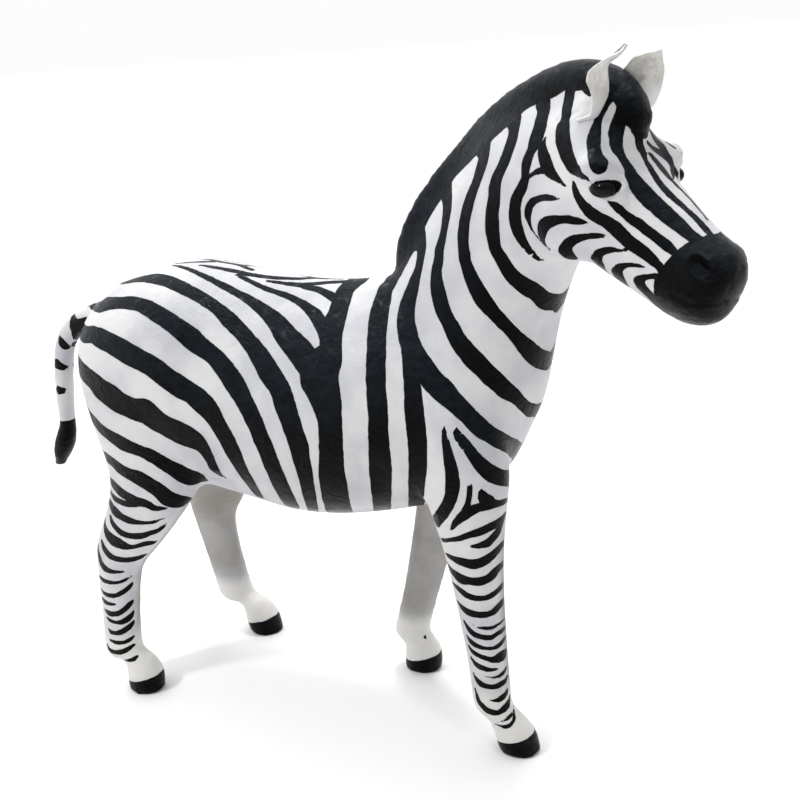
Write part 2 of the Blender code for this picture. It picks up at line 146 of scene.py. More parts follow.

# Stripes in the photograph: points along the middle of each, with its half width, read
# from enlarged crops of the picture with a grid of pixels over them.
STRIPES = {
    "rump_1": (
        (121, 283.5, 1.5), (140, 279, 3.9), (153, 278, 5.2), (166, 280.5, 6), (181, 287, 6.3),
        (200, 297, 6.3), (215, 307, 6.4), (230, 320.3, 8.2), (240.4, 331.2, 7.9),
        (250.9, 343.8, 8.5), (260, 357, 10), (270, 373.6, 10.8), (280, 390, 10.5),
        (283.4, 400, 10.7), (287.6, 413, 10), (292.5, 428, 9.6), (299, 447, 9.4),
        (301.6, 460, 8.5), (305.2, 475, 7.6), (308.2, 490, 6.7), (310.9, 502, 5.8), (314, 513, 4.5),
    ),
    "rump_2": (
        (88, 306, 1), (94, 306, 3), (99, 306, 5.5), (103, 304.5, 7), (118, 302.7, 5.6),
        (130, 302.7, 7), (141, 305, 7.3), (150, 309.4, 8.4), (169.5, 321.3, 9.2), (180, 329.4, 10),
        (191, 338, 10.7), (200, 345.6, 9.8), (211, 354, 8.8), (220, 363.3, 9.7), (230, 376.5, 10),
        (240, 392.8, 9.7), (243.8, 400, 8.8), (250.6, 414, 8.5), (256.5, 427, 8.1),
        (262.5, 442, 7.9), (268.4, 456, 8), (273.8, 470, 7.8), (281.8, 488, 7.4),
        (289.4, 502, 6.6), (293.3, 508, 5.5),
    ),
    "rump_3": (
        (86, 335, 6), (92, 334, 8), (100, 338.3, 10), (111, 343.8, 10.3), (120, 348.5, 10.6),
        (129, 354.3, 11), (140, 360, 10.3), (151, 366.2, 10.6), (161, 373.5, 10.6),
        (170, 380.5, 10.5), (180, 387, 11.3), (190, 393, 10.2), (200, 401, 10.8),
        (208, 408.5, 10.2), (217.3, 422.6, 8), (227, 440, 7.7), (232.3, 451, 7.5),
        (236.7, 459.7, 7), (242, 470, 6.2), (249.7, 482, 5.3), (255.5, 491, 4.5), (260, 497, 3.5),
    ),
    "rump_4": (
        (83, 372, 7), (92, 380.3, 7.6), (100, 388.4, 9.6), (111, 396.3, 10.5), (120, 402.5, 10.4),
        (130, 407.3, 10.4), (138, 410.3, 11.3), (146, 412.4, 11.8), (153, 418, 11.2),
        (161, 423.7, 10.3), (170, 429, 10.3), (180, 433.9, 10.9), (190, 437.8, 9.8),
        (198, 442.8, 8.5), (205.5, 451.3, 6.2), (211.5, 463, 4.9), (217.5, 472, 3.9),
        (225, 477.5, 1.6), (232, 482, 0.6),
    ),
    "thigh_1": (
        (83, 407, 5.5), (91, 416.5, 5), (100, 427.8, 5.2), (109.6, 435.7, 5), (120, 442, 6.3),
        (130, 447, 5.9), (142.5, 452, 5.5), (151, 455.6, 6.6), (160, 461, 6.6), (170, 467, 6.9),
        (178, 471.5, 8), (187, 476, 8.2), (196, 478, 6.9), (202, 479.5, 4.5),
    ),
    "thigh_2": (
        (92, 440.5, 2), (97, 446.5, 3.5), (103, 454, 4.3), (110, 460, 4.5), (120, 468.5, 4.9),
        (130, 474.5, 5.5), (140, 479, 7), (150, 485, 6.9), (160, 491.5, 7.5), (168, 498.5, 8),
        (177, 501.5, 6.8), (185, 501.5, 4.5), (191, 499.5, 1.5),
    ),
    "thigh_3": (
        (108, 475, 1.5), (111, 481, 3.2), (116, 487, 4), (122, 493, 4), (128, 497, 4),
        (135, 501, 5), (146, 503.5, 3.8), (154, 508, 3), (162, 508.4, 1.9), (169, 508.4, 0.6),
    ),
    "thigh_4": (
        (110.5, 491, 1.5), (114, 497.5, 2.2), (120, 501.5, 2.6), (127, 504, 3), (136, 504.5, 3),
    ),
    "hind_ring_1": (
        (110, 502, 2.5), (113, 509, 3.6), (119, 515, 3.7), (126, 519, 3), (134, 521.7, 2.7),
        (142, 522.8, 2), (151, 522.4, 1.7), (158, 520.6, 1.1), (165, 518.3, 0.4),
    ),
    "hind_ring_2": (
        (110.3, 516, 1.3), (112.8, 523.5, 2.3), (118, 530, 2.6), (124.5, 534.2, 2.7),
        (132, 536, 2.7), (143, 535.6, 3), (150.6, 533, 2.6), (158.3, 530.4, 2), (164, 526, 1.4),
        (167, 523, 0.4),
    ),
    "hind_ring_3": (
        (105.3, 517, 1.2), (104.8, 526, 2.5), (107.5, 534, 3.6), (112.5, 539.5, 4.8),
        (119, 543.5, 4.8), (127, 546.5, 3.1), (135, 546.6, 1.9), (147, 543.5, 2.2),
        (153.8, 542.5, 1.8), (157, 540.8, 0.5),
    ),
    "hind_ring_4": (
        (101.8, 541, 1.5), (104, 548, 2.5), (109, 555, 3), (116, 558.7, 2.7), (125, 560, 2.6),
        (135, 558.9, 2.4), (142, 556.5, 1.8), (149, 552.7, 0.4),
    ),
    "hind_ring_5": (
        (98.5, 544, 0.8), (98, 550, 1.8), (99.5, 557, 2), (101.7, 564, 2.8), (105.5, 568.7, 2.8),
        (112, 571.5, 2.1), (120, 572, 1.5), (128, 570.5, 0.4),
    ),
    "hind_ring_6": (
        (99, 575, 1.3), (103, 580, 1.8), (111, 582.5, 2), (119, 582.2, 1.6), (126.3, 579.4, 1.5),
        (132, 575.6, 0.4),
    ),
    "hind_ring_7": (
        (100.3, 587, 0.6), (103.5, 592.5, 1.6), (108.5, 595.3, 1.9), (115, 595.8, 2.3),
        (121.5, 593, 2.5), (127, 589.3, 2.3), (131.5, 584.5, 1.8), (132.8, 581.8, 0.5),
    ),
    "hind_ring_8": (
        (101.5, 596, 0.5), (104, 600.8, 1.9), (108.5, 603.6, 1.6), (113, 604.1, 1.3),
        (116.6, 603.7, 0.6),
    ),
    "hind_ring_9": (
        (104.2, 607.5, 0.6), (107, 611.8, 2), (112, 614, 2.5), (118.5, 613.2, 2.5),
        (124.8, 609.5, 2.5), (130, 604.3, 2.6), (133.2, 600.3, 1.1),
    ),
    "hind_ring_10": (
        (105.8, 615.5, 0.6), (109.5, 620, 1.4), (115, 622.2, 1.5), (121, 622.3, 2.3),
        (126.8, 619.9, 2.9), (131, 615.8, 2.6), (134, 610.5, 0.8),
    ),
    "hind_ring_11": (
        (108.6, 628.5, 0.9), (111, 632, 2), (117, 633.1, 2.3), (123.5, 631.2, 2.8),
        (129, 627.2, 2.7), (133, 622.8, 1.8), (135.2, 619.5, 0.6),
    ),
    "hind_ring_12": (
        (108.5, 638.3, 0.5), (113, 641.5, 1.4), (119, 642.8, 1.8), (125, 642, 1.8),
        (130.2, 639.5, 1.7), (134.8, 635.2, 0.9),
    ),
    "hind_ring_13": (
        (107.6, 644, 0.8), (109, 649, 1.9), (114, 652, 2), (120, 652.2, 2.3), (126, 650.2, 2.1),
        (131, 646.9, 1.8), (135.6, 643.8, 0.8),
    ),
    "hind_ring_14": ((124.5, 660.3, 0.5), (129, 660.5, 1.7), (133.5, 659.4, 2.2), (137.3, 656, 1.2)),
    "back_1": (
        (171, 265, 0.5), (180, 266.5, 1.5), (191, 270, 2), (205, 276.5, 2.6), (218, 283, 3.2),
        (225, 286.5, 3.5), (240.5, 295, 4), (251, 301, 4.8), (260, 307.5, 6.3), (269, 314.5, 7.8),
        (277, 323, 9.5), (288, 338, 12), (296, 347, 12.9), (308, 362, 14),
    ),
    "back_2": (
        (235.5, 274.5, 0.9), (246, 279, 2), (256.5, 284.3, 2.3), (270, 290, 2.6),
        (287, 295.7, 3.3), (297, 300.5, 3.8), (307, 307, 5), (316, 316, 7), (323, 328, 7),
        (326, 338, 7),
    ),
    "back_3": (
        (265.6, 280.6, 1), (279, 282.5, 1.7), (292, 284.2, 2.2), (303, 285, 3), (305, 286.5, 3),
        (320, 290, 3.2), (333, 297, 4.5), (340, 303, 6),
    ),
    "back_4": ((303, 284, 2), (310, 284, 2.5), (330, 282.3, 2), (349, 281, 2.3)),
    "back_5": (
        (200, 265.2, 1.2), (215, 267.4, 1.8), (234, 271, 2.2), (253.5, 275, 2.2),
        (272.7, 277.6, 2), (298.3, 278.6, 2), (312.4, 278, 1.9), (346, 278, 1.8),
    ),
    "back_6": (
        (176, 263.5, 0.9), (195, 262, 1.7), (215, 261.4, 2.2), (225, 261.4, 2.4), (235.5, 263.3, 2.4),
        (246, 267.5, 2), (254, 270.5, 1.2),
    ),
    "belly_1": (
        (359, 279, 9), (350, 286, 8), (345.5, 291, 8), (341, 303, 9), (337, 314.6, 9.5),
        (331.5, 330, 11.5), (331, 345, 11), (330, 360, 12), (319.6, 375, 19), (322.3, 387, 17.5),
        (325.9, 400, 15.3), (328.2, 412, 13.4), (330.2, 427, 12), (330.9, 450, 12.1),
        (331.5, 472, 13), (333.8, 487, 13.4), (336.3, 501, 13.2), (340.3, 514, 11),
    ),
    "flank_1": (
        (392, 276, 5), (390.6, 280.6, 6.5), (386, 289, 7), (382.5, 300, 8.3), (379.3, 313, 9.1),
        (377.5, 326, 9.5), (376.7, 345, 9.5), (375.7, 366, 10), (376.2, 391, 10), (378, 412, 10),
        (378.5, 437, 10.2), (379.6, 455, 10.8), (380.2, 467, 11.7), (381, 481, 10.8),
        (381.6, 495, 9.7), (382.3, 510, 8.3),
    ),
    "flank_2": (
        (418, 228, 8), (420.5, 240, 7.5), (421.5, 250, 5.9), (420.2, 260, 4.9), (418.3, 270, 4.7),
        (414.9, 280, 6), (411.8, 290, 7.1), (408.7, 300, 8.1), (407.1, 310, 8.3), (406.4, 320, 9.2),
        (407.4, 330, 9.7), (409, 340, 10), (410, 350, 9), (411.3, 370, 8.5), (411.7, 380, 8.4),
        (412.5, 390, 8.8), (413.1, 400, 9.2), (415.3, 420, 9.7), (417.6, 440, 9.8),
        (418.4, 464, 9.3), (417.8, 480, 8.7), (417.6, 495, 7.7), (416.5, 505, 6.5),
    ),
    "shoulder_1": (
        (409, 338, 9), (415, 353, 10), (423, 368, 12), (431, 379, 11.6), (442, 390, 11.9),
        (455, 403, 9.9), (470, 417.5, 9.4), (483.5, 430, 9.4), (500, 440.2, 8.5), (512, 447.5, 9),
        (521, 452, 9.5),
    ),
    "shoulder_2": (
        (446, 188, 8.5), (447.5, 200, 6.6), (447.1, 210, 6.1), (445.6, 220, 5), (444.2, 230, 4.4),
        (442, 240, 4.7), (439.5, 250, 5.4), (438.6, 260, 5.4), (436.7, 270, 6), (436.4, 280, 7.1),
        (437.6, 290, 8.2), (440.2, 300, 8.8), (443.3, 310, 8.4), (447.8, 320, 8.3), (452.9, 330, 9.2),
        (457.9, 340, 9.4), (465.6, 350, 10.2), (474.4, 360, 10.6), (484.3, 370, 10.2),
        (494.8, 380, 10.4), (504.4, 389, 9.6), (513.7, 395.5, 7.7), (521, 402.5, 6.3),
        (528, 409, 6.8), (535, 410.3, 6), (542, 408, 5.5),
    ),
    "neck_1": (
        (482, 140, 11), (484, 150, 8), (483, 160, 6.9), (480.1, 170, 6.3), (477, 180, 5.7),
        (473.1, 190, 5.6), (469.6, 200, 5.9), (466.8, 210, 6.2), (464.8, 220, 6.4), (463.5, 230, 6.4),
        (462.9, 240, 6.6), (464, 250, 7.2), (464.8, 260, 7.2), (468.3, 270, 8), (472, 279, 8.8),
        (475.5, 286, 9.6), (479, 293, 10), (483.6, 300, 10.2), (491.5, 310, 9), (500.2, 320, 8.2),
        (510.2, 330, 7.8), (519.5, 340, 8.8), (529, 350.3, 10.8), (538, 357.5, 10.8), (546, 361, 9.5),
    ),
    "neck_2": (
        (512, 112, 12), (514.5, 122, 7.3), (513.8, 130, 5.9), (511.9, 140, 5.6), (508.4, 150, 5.6),
        (504.6, 160, 5.5), (500.3, 170, 5.3), (496.3, 180, 5.8), (494.4, 190, 6.5), (493.9, 200, 6.7),
        (492.3, 210, 7.1), (491.8, 220, 7.6), (492.1, 230, 7.9), (493.4, 240, 7.5), (495.9, 250, 7.1),
        (502.1, 260, 8.1), (507.8, 270, 8.3), (514.3, 277.7, 8.8), (524.3, 285.7, 9.6),
        (535, 291.8, 10.1), (545, 300.5, 10.6), (555, 301.3, 7.3), (565, 299.8, 6.8),
    ),
    "neck_3": (
        (543, 100, 8), (543.6, 110, 6.4), (541.5, 120, 6.6), (539.3, 130, 7.2), (535.8, 140, 6.5),
        (531.4, 150, 4.3), (527.2, 160, 4.6), (525.6, 170, 4.1), (525.6, 178, 4), (523, 185, 5.1),
        (520.7, 190, 5), (516.3, 200, 5.7), (514.8, 210, 6), (515.2, 220, 6.4), (517.3, 230, 6.3),
        (521.5, 240, 4.8), (528, 249, 4.1), (533.5, 255, 3.2), (539, 258.8, 2.2), (544, 261, 1),
    ),
    "cheek_1": (
        (546, 136, 0.5), (543.7, 143, 2.6), (542.5, 150, 4.8), (543.8, 157, 6), (546.5, 164, 6.8),
        (550.5, 170.5, 5.6), (555, 176, 4), (560, 181, 2.5), (565, 186, 1.3), (569, 189.4, 0.4),
    ),
    "cheek_2": ((529, 177, 2), (534, 173, 2.6), (540, 170.5, 3.2), (546, 169.5, 4)),
    "behind_ear": (
        (570, 90, 5.6), (567.5, 105, 5.6), (565.5, 115, 5), (562.5, 124, 6.7), (562, 132, 8),
        (562.8, 140, 8), (564.3, 148, 7.5), (567.5, 157, 7), (572, 165, 6.4), (578, 172, 5.2),
        (584, 177.5, 3.2), (591, 180, 0.8),
    ),
    "jaw_1": (
        (559.4, 198.4, 0.8), (553, 198, 2.5), (545, 197.7, 3.2), (538, 199, 3.6), (532, 203, 4),
        (528.8, 208.5, 4), (527.9, 215, 3.6), (529, 221, 2.2), (531, 227.5, 1.8), (534, 232.5, 1.1),
        (539, 239, 0.9), (544, 245, 0.8), (549, 250.3, 0.5),
    ),
    "jaw_2": (
        (587.3, 222.8, 0.8), (580, 221.7, 3), (570, 220, 3.8), (560, 219.6, 4.4), (552, 220.8, 5.6),
        (546, 223.3, 6.5), (542.5, 228, 6), (541.3, 234, 5), (542.5, 240, 4), (545.5, 245.5, 2.5),
        (549.3, 250.3, 0.7),
    ),
    "jaw_3": (
        (607.8, 236.4, 0.9), (600, 235.7, 2.6), (590, 236, 2.8), (580, 237.8, 3.8), (572, 240.6, 5),
        (567, 245.5, 6), (565.3, 251, 7), (567.5, 255.5, 6), (572, 257.5, 4),
    ),
    "jaw_4": (
        (625.8, 251.1, 0.6), (619, 250.5, 1.5), (611, 249.6, 2.8), (603.5, 251.2, 3.8),
        (598.5, 254.5, 5.2), (597, 259, 6), (599, 264, 5.5), (603, 269, 3.6), (607, 273, 1.8),
    ),
    "jaw_5": (
        (645.2, 266.9, 0.5), (639, 265.7, 1.5), (631, 264.8, 2.4), (623.5, 265.7, 3.4),
        (618.5, 268.5, 5), (617.5, 273, 6), (619.5, 278, 6), (623, 283, 4),
    ),
    "jaw_6": (
        (657, 276, 3), (650, 276.5, 2.5), (643.5, 277.8, 3.3), (639.5, 281, 5.3), (641, 286, 6),
        (645.5, 291, 5), (650, 295.5, 3),
    ),
    "face_1": (
        (573.8, 182, 1.5), (574.6, 188, 2.8), (577.5, 196, 3.8), (583, 204.5, 4.8), (590, 212, 5.6),
        (598, 217.5, 6), (606, 222, 6.3), (614, 228, 7.3), (621, 234.5, 7.2), (629, 241.5, 7),
        (637, 247.5, 6.8), (645, 253.5, 6.3), (652, 259.5, 5.5), (659, 266, 4.2),
    ),
    "face_2": (
        (609.2, 201.2, 0.9), (613.5, 204.5, 3), (618.5, 208.5, 4.2), (624.5, 213.8, 4.4),
        (631.5, 219.3, 4.9), (638.5, 223.8, 5), (645.5, 229.5, 5.3), (652.5, 234.3, 5.4),
        (660, 240, 5.4), (667, 246, 5.5), (674, 252, 4),
    ),
    "face_3": (
        (621, 112, 6), (619, 122, 7.5), (616, 133, 7.4), (616, 142, 6.8), (617, 149, 6),
        (622.2, 158.2, 3.9), (628.6, 168, 4.6), (632, 177, 6.5), (638.4, 186.6, 8.6),
        (646.8, 196.3, 8.6), (656.4, 205.6, 8.5), (668.4, 215.6, 8.1), (680, 226, 7.1),
        (690, 234.5, 6), (698, 240, 6),
    ),
    "ear_slit": ((582, 85, 3), (587, 90.5, 2.8), (592.5, 96.5, 1)),
    "before_ear": (
        (609, 98, 4), (605, 106, 4), (600.5, 113, 4.5), (597.5, 122, 4), (595.5, 130, 5.2),
    ),
    "fore_1": (
        (443.2, 425.5, 1.2), (444, 430, 2.1), (445.6, 440, 3.7), (446.8, 450, 4.4), (449.3, 460, 5.6),
        (451.5, 470, 6.8), (452.4, 480, 7.2), (452.2, 490, 7.2), (449.8, 500, 6.7), (445.5, 509, 6.5),
        (439.5, 517.5, 6.4), (434, 523.5, 5.2), (427, 529, 3.6),
    ),
    "fore_2": (
        (454.8, 428.5, 2.4), (456.6, 433, 3.8), (460, 438.5, 5.1), (466.7, 446.3, 5.4),
        (473.2, 455.6, 6.3), (481.1, 464.9, 7.3), (491.2, 473.3, 8.7), (501, 477.9, 8.5),
        (512, 478.3, 7.6),
    ),
    "fore_3": (
        (470.6, 484, 2.2), (470.1, 488, 3.2), (469.7, 494, 3.3), (468.7, 500, 3.1), (467.6, 505, 3.2),
        (465.5, 511, 4.5),
    ),
    "fore_4": (
        (509.5, 497.3, 1), (505, 501.5, 2.6), (498, 503.6, 3.3), (491, 504, 5.3), (484, 506.3, 4.8),
        (477, 508, 4.8), (470.5, 511, 5), (464, 515.2, 5.4), (458, 520.5, 4.3), (453.3, 526, 3),
        (450.8, 531, 1),
    ),
    "fore_5": ((481, 490.5, 3), (481.8, 494, 4.4), (484.5, 499.5, 6.5), (490, 502.5, 6.8)),
    "fore_ring_1": (
        (438.5, 538.5, 2.3), (445, 540.4, 1.9), (452, 539.8, 2), (458, 538.8, 2.7), (465, 536.5, 3.1),
        (472, 534.4, 3.6), (479, 532.2, 4), (486, 529, 3.9), (492, 525.8, 3.9), (498, 522.8, 4),
        (502.5, 519, 3.5), (505.3, 513, 1.5),
    ),
    "fore_ring_2": (
        (505.5, 514, 1.6), (503, 520.5, 3), (500, 527.5, 3.3), (497.3, 533, 3.5), (493, 538.3, 3.6),
        (488, 542.8, 4), (482, 545, 3.2), (476, 546.2, 2.2), (470, 546.8, 1),
    ),
    "fore_ring_3": (
        (442.5, 550.5, 0.6), (448, 555.5, 2), (455, 559.5, 3.2), (463, 562.2, 4.1), (472, 564.1, 4.9),
        (481, 562.6, 4.7), (489, 558, 4.3), (494.5, 553.3, 3.6), (500, 547.5, 3.5),
        (504.7, 541.5, 2.6), (507.2, 534.5, 1),
    ),
    "fore_ring_4": (
        (445, 557.5, 0.6), (449.3, 567.5, 3), (455, 574.5, 4), (462, 579.3, 4.5), (470, 581.2, 3.7),
        (478, 581.9, 4.1), (485, 580, 4.2), (490.8, 576.8, 4), (496, 571, 3.8), (500.8, 566, 3.2),
        (504.8, 560.8, 2.6), (507.2, 554, 1),
    ),
    "fore_ring_5": (
        (451.2, 580.5, 0.5), (455.5, 586, 2.2), (461.5, 591.5, 2.7), (468, 596, 3), (475, 598.2, 2.9),
        (482, 598.6, 2.6), (488.5, 597.2, 2.5), (494.5, 593.4, 2.4), (500, 588.3, 2.5),
        (504.3, 582, 2), (506.3, 576, 0.8),
    ),
    "fore_ring_6": (
        (457, 600, 0.8), (461.5, 607, 2.4), (467, 611.2, 3), (473.5, 614, 3.2), (481, 614.9, 3.1),
        (489, 614, 2.9), (494.5, 611.2, 3), (499, 606, 3), (503.3, 601, 2.8), (506, 595, 2),
        (507, 587, 0.9),
    ),
    "fore_ring_7": (
        (471, 624, 0.4), (477, 627, 0.9), (484, 628.2, 1.3), (490.8, 628.2, 1.6), (496.5, 625.5, 1.3),
        (502, 621.3, 0.9), (506.5, 616.5, 0.9), (509, 611, 0.6),
    ),
    "fore_ring_8": (
        (463.8, 620.5, 1.2), (467.5, 627, 2.1), (472, 632.5, 2.6), (478.3, 636.1, 2.6),
        (485.8, 637.6, 2.4), (492, 637.2, 2.2), (497.5, 633.8, 2), (502.8, 630, 1.9),
        (506.2, 625, 1.4), (507.6, 620.5, 0.7),
    ),
    "fore_ring_9": (
        (466.8, 635, 0.9), (470.5, 641.3, 2.2), (476, 645.3, 2.3), (482, 647.7, 2), (488.5, 648.5, 1.6),
        (494.5, 648.2, 1.7), (499, 645.2, 2), (502.8, 641.3, 2), (505.8, 636, 1.3), (507.2, 631, 0.6),
    ),
    "fore_ring_10": (
        (468.3, 645, 0.9), (471.8, 650.8, 1.9), (477.5, 655, 2.1), (484.5, 657.8, 2.5),
        (491, 659.5, 3), (497, 658.8, 4.2), (502.5, 655.8, 4.6), (505.8, 652, 2.8), (507, 648, 0.8),
    ),
    "fore_ring_11": (
        (470.8, 656.5, 1.2), (474.5, 662.8, 2.3), (480, 666.8, 2.4), (486.5, 669.3, 2.2),
        (492, 670, 1.8), (496.5, 669.2, 1.1), (499, 667.4, 0.5),
    ),
    "fore_ring_12": (
        (484, 676.6, 0.4), (489.5, 677.8, 1), (495.5, 677.7, 1.3), (500.5, 675.3, 1.7),
        (504.5, 671, 1.8), (507, 665.5, 0.9),
    ),
    "fore_ring_13": (
        (472.8, 671.5, 0.8), (476, 678.5, 1.8), (480.8, 684, 2.8), (487, 686.4, 2.4),
        (495, 686.7, 2.6), (500.5, 684.2, 2.6), (505, 681, 2.3), (507.6, 676, 1.2),
    ),
    "fore_ring_14": (
        (488.9, 699.8, 0.5), (493.5, 700.8, 1.1), (498, 700.2, 2), (502, 697.8, 2.5),
        (505.7, 694, 2.2), (507.6, 688.5, 0.9),
    ),
    "fore_ring_15": (
        (474.9, 688, 0.8), (476.6, 694, 1.3), (478.5, 701, 2.4), (482.5, 705.8, 2.6),
        (487, 710.2, 2.7), (492.8, 712.6, 3), (498.3, 712.7, 2.4), (502.8, 709.8, 2.9),
        (506.8, 705.5, 2.9), (509.2, 699.8, 1.9), (509.8, 693.5, 0.7),
    ),
    "fore_ring_16": (
        (497.5, 722.2, 0.5), (503, 721.2, 0.9), (508, 718.2, 1.5), (511.2, 715, 1.1),
        (511.7, 712.5, 0.4),
    ),
    "fore_ring_17": (
        (495, 724.5, 0.5), (500, 726.2, 1.3), (505.5, 727, 2.4), (510.5, 724.8, 2), (513.3, 721, 1.5),
        (514.5, 717.5, 1.2), (513.9, 712, 0.8), (513.5, 706, 0.6),
    ),
    "tail_1": (
        (72.5, 320, 3), (74, 325, 4.5), (77, 329.5, 4), (82, 332, 1.8), (86.5, 332, 0.8),
    ),
    "tail_2": ((60.5, 337, 1.5), (61.5, 342, 3.6), (65, 346.5, 3.4), (69.8, 347.6, 1.2)),
    "tail_3": ((57, 364, 4.2), (62, 367, 3.3), (67, 367.7, 2.2), (70, 367, 0.8)),
    "tail_4": ((58.8, 390, 4.5), (62.5, 390.5, 3.2), (66, 389.3, 1)),
    "forelock_1": (
        (612, 72, 6), (622, 80, 14), (632, 92, 18), (638, 105, 16), (641, 118, 11), (642, 130, 7),
    ),
    "forelock_2": ((612, 80, 5), (614, 90, 7), (622, 98, 9), (634, 112, 10)),
    "forelock_3": ((640, 80, 8), (648, 95, 9), (651, 110, 7), (647, 128, 5)),
    "eye_almond": (
        (594.5, 183, 1), (598, 185, 4), (602.5, 187, 6.8), (608, 188, 8.2), (613, 187, 7),
        (617, 185.7, 4.6), (620.5, 184.8, 1.6),
    ),
}

# Stripes whose lower end goes on round the belly or the throat to the middle.
ROUND_TO_MIDDLE = (
    "belly_1", "flank_1", "flank_2", "shoulder_2", "neck_1", "neck_2", "jaw_4", "jaw_5", "jaw_6",
)

# Stripes whose upper end goes on round the rump to the tail.
ROUND_THE_RUMP = ("rump_3", "rump_4", "thigh_1")

# Marks that only the near side has: (x, y, half width) as for the stripes.
NEAR_MARKS = (
    # beside the ear, down to the glossy boss
    (
        (595.5, 130, 5.2), (593.8, 139, 7), (593.8, 148, 7), (596, 156, 8), (598.5, 163, 9.5),
        (599, 165.5, 8.5),
    ),
    # the line along the ridge of the nose
    (
        (641, 128, 6), (641, 137, 5.6), (642, 146, 5.5), (643.5, 153, 3.6), (645.3, 159.5, 2.3),
        (650.5, 168, 2.7), (655.5, 177, 3), (662, 185.5, 3), (670.5, 195, 2.9), (678.5, 202.3, 2.7),
        (687, 209.5, 2.5), (695.5, 217.5, 2.8), (704, 227, 2.9), (711, 234.5, 2.8),
    ),
)

# Marks that only the far side has, on the face and as specks on the legs.
FAR_MARKS = (
    (
        (648, 143, 1.8), (654, 149, 3), (661, 153.5, 4), (668, 158.5, 5.5), (671.5, 165, 3.5),
        (672.5, 172, 2.4), (673.5, 179, 1.2),
    ),
    (
        (648.5, 129.5, 1.6), (655, 133.5, 2.2), (662, 138.8, 1.9), (669, 144, 1.4), (675, 148.2, 1),
    ),
    (
        (651, 156, 3.5), (657, 163, 4), (663.5, 170, 3.4), (669.5, 177.5, 2.6), (676, 184.5, 2),
        (684, 192.5, 1.6), (692, 201, 1.6), (700, 210.5, 1.5), (707, 219, 1.2),
    ),
    ((424.6, 635.5, 1.2), (425.3, 638.5, 1.4)),
    ((240, 534, 0.8), (241, 538, 1.4)),
    ((244, 552, 1.3), (245.5, 558, 1.5)),
    ((248, 566, 1.3), (249.5, 571, 1.4)),
)

# Where the black crest of hair ends on the neck, from the withers to the ear.
MANE_EDGE = (
    (403, 271.5), (409.5, 259), (416, 248), (427, 222.7), (434, 210.5), (441.7, 199), (448, 188),
    (454.5, 177.8), (466, 166), (477.3, 154.7), (494.2, 138.1), (508.8, 125.3), (526.3, 109.2),
    (537.8, 103.5), (553.2, 97.7), (564.5, 91), (583, 90),
)

# The crest starts this far behind its line's first point and above this height, in shares.
MANE_OVERHANG, MANE_FOOT = 0.055, 0.985

# Where the black muzzle starts, from the nose down to the chin.
MUZZLE_EDGE = (
    (716, 234), (700, 236), (693, 239), (679, 249), (672, 255.4), (663, 266), (660, 269),
    (656.5, 276), (654, 282), (653.5, 294),
)
MUZZLE_SLANT = 0.8  # its edge leans, so the distance to it is less than along the head
MUZZLE_FROM = 0.8

# How high the black rims of the hooves reach, in metres at their middle.
HOOF_TOP = 0.115
HOOF_RIM = 0.030
HOOF_RIM_RISE = 0.27  # from heel to toe, for each unit of length
TUFT_AT = (62, 421)

# The outline of each ear: the picture's row, and the ear's left and right edge there.
EAR_EDGES = {
    "right_ear_leaf": (
        (44, 625.1, 626.3), (46.3, 623.2, 626), (50, 619.5, 624), (55, 613, 619), (59, 606, 613.5),
        (63, 600, 608.5), (67, 594, 607), (72, 588.5, 607), (78, 587, 607.5), (82, 586.5, 608),
        (86, 588.5, 608), (91, 590.5, 608), (96, 592, 607), (104, 592.5, 603.5), (114, 590.5, 598.5),
        (124, 588.5, 593.5),
    ),
    "left_ear_leaf": (
        (50, 660, 662), (52, 650, 662.5), (55, 640, 662.7), (57, 634, 663), (61, 630, 663.2),
        (65, 627, 664), (70, 622, 664), (77, 618, 663), (83.5, 615, 661.5), (90, 613, 660),
        (97, 613, 657), (102, 614, 655), (110, 616, 650),
    ),
}
EAR_STREAK = ((613.5, 54), (619.5, 50.5), (622.5, 47), (625, 43.5))

Relief = namedtuple("Relief", "height width line")

# Low relief of the skin: height and width in metres, and where it runs in the photograph.
RELIEF = {
    "boss_by_ear": Relief(0.0045, 0.0085, ((597, 163), (600, 166))),
    "bump_on_brow": Relief(0.0020, 0.0070, ((616, 138), (617, 143))),
    "upper_lid": Relief(0.0026, 0.0042, ((589, 181), (597, 177.5), (608, 176), (618, 178), (626, 183))),
    "lower_lid": Relief(
        0.0020, 0.0034, ((591, 186), (597, 195), (608, 200), (617, 196.5), (625, 187)),
    ),
    "eye_corner": Relief(-0.0018, 0.0034, ((584, 180.5), (591, 182.5))),
    "nostril": Relief(-0.0060, 0.0070, ((697, 263), (703, 269))),
    "nostril_rim": Relief(
        0.0030, 0.0030, ((689, 259), (689, 267), (693, 275), (700, 281), (709, 284)),
    ),
    "nostril_top": Relief(0.0026, 0.0036, ((691, 255), (699, 254), (707, 260), (712, 268))),
    "mouth": Relief(
        -0.0014, 0.0030, ((727, 302), (714, 305), (698, 306), (682, 302), (672, 297)),
    ),
    "jaw_crease": Relief(-0.0018, 0.0032, ((547, 248), (554, 253), (562, 258.5))),
    "ear_mound": Relief(0.0040, 0.0110, ((584, 103), (583, 116))),
    "ear_root": Relief(-0.0026, 0.0036, ((555, 121), (563, 117.5), (571, 115), (578, 112))),
    "elbow_crease": Relief(-0.0026, 0.0044, ((417, 497), (424, 504), (431, 514))),
    "elbow_fold": Relief(0.0018, 0.0060, ((424, 497), (432, 505), (438, 514))),
    "flank_fold": Relief(-0.0030, 0.0055, ((196, 473), (208, 477), (220, 480), (234, 483))),
    "flank_lip": Relief(0.0020, 0.0070, ((199, 465), (212, 469), (226, 473), (238, 477))),
}


def smooth_step(value, low, high):
    share = np.clip((value - low) / (high - low), 0.0, 1.0)
    return share * share * (3 - 2 * share)


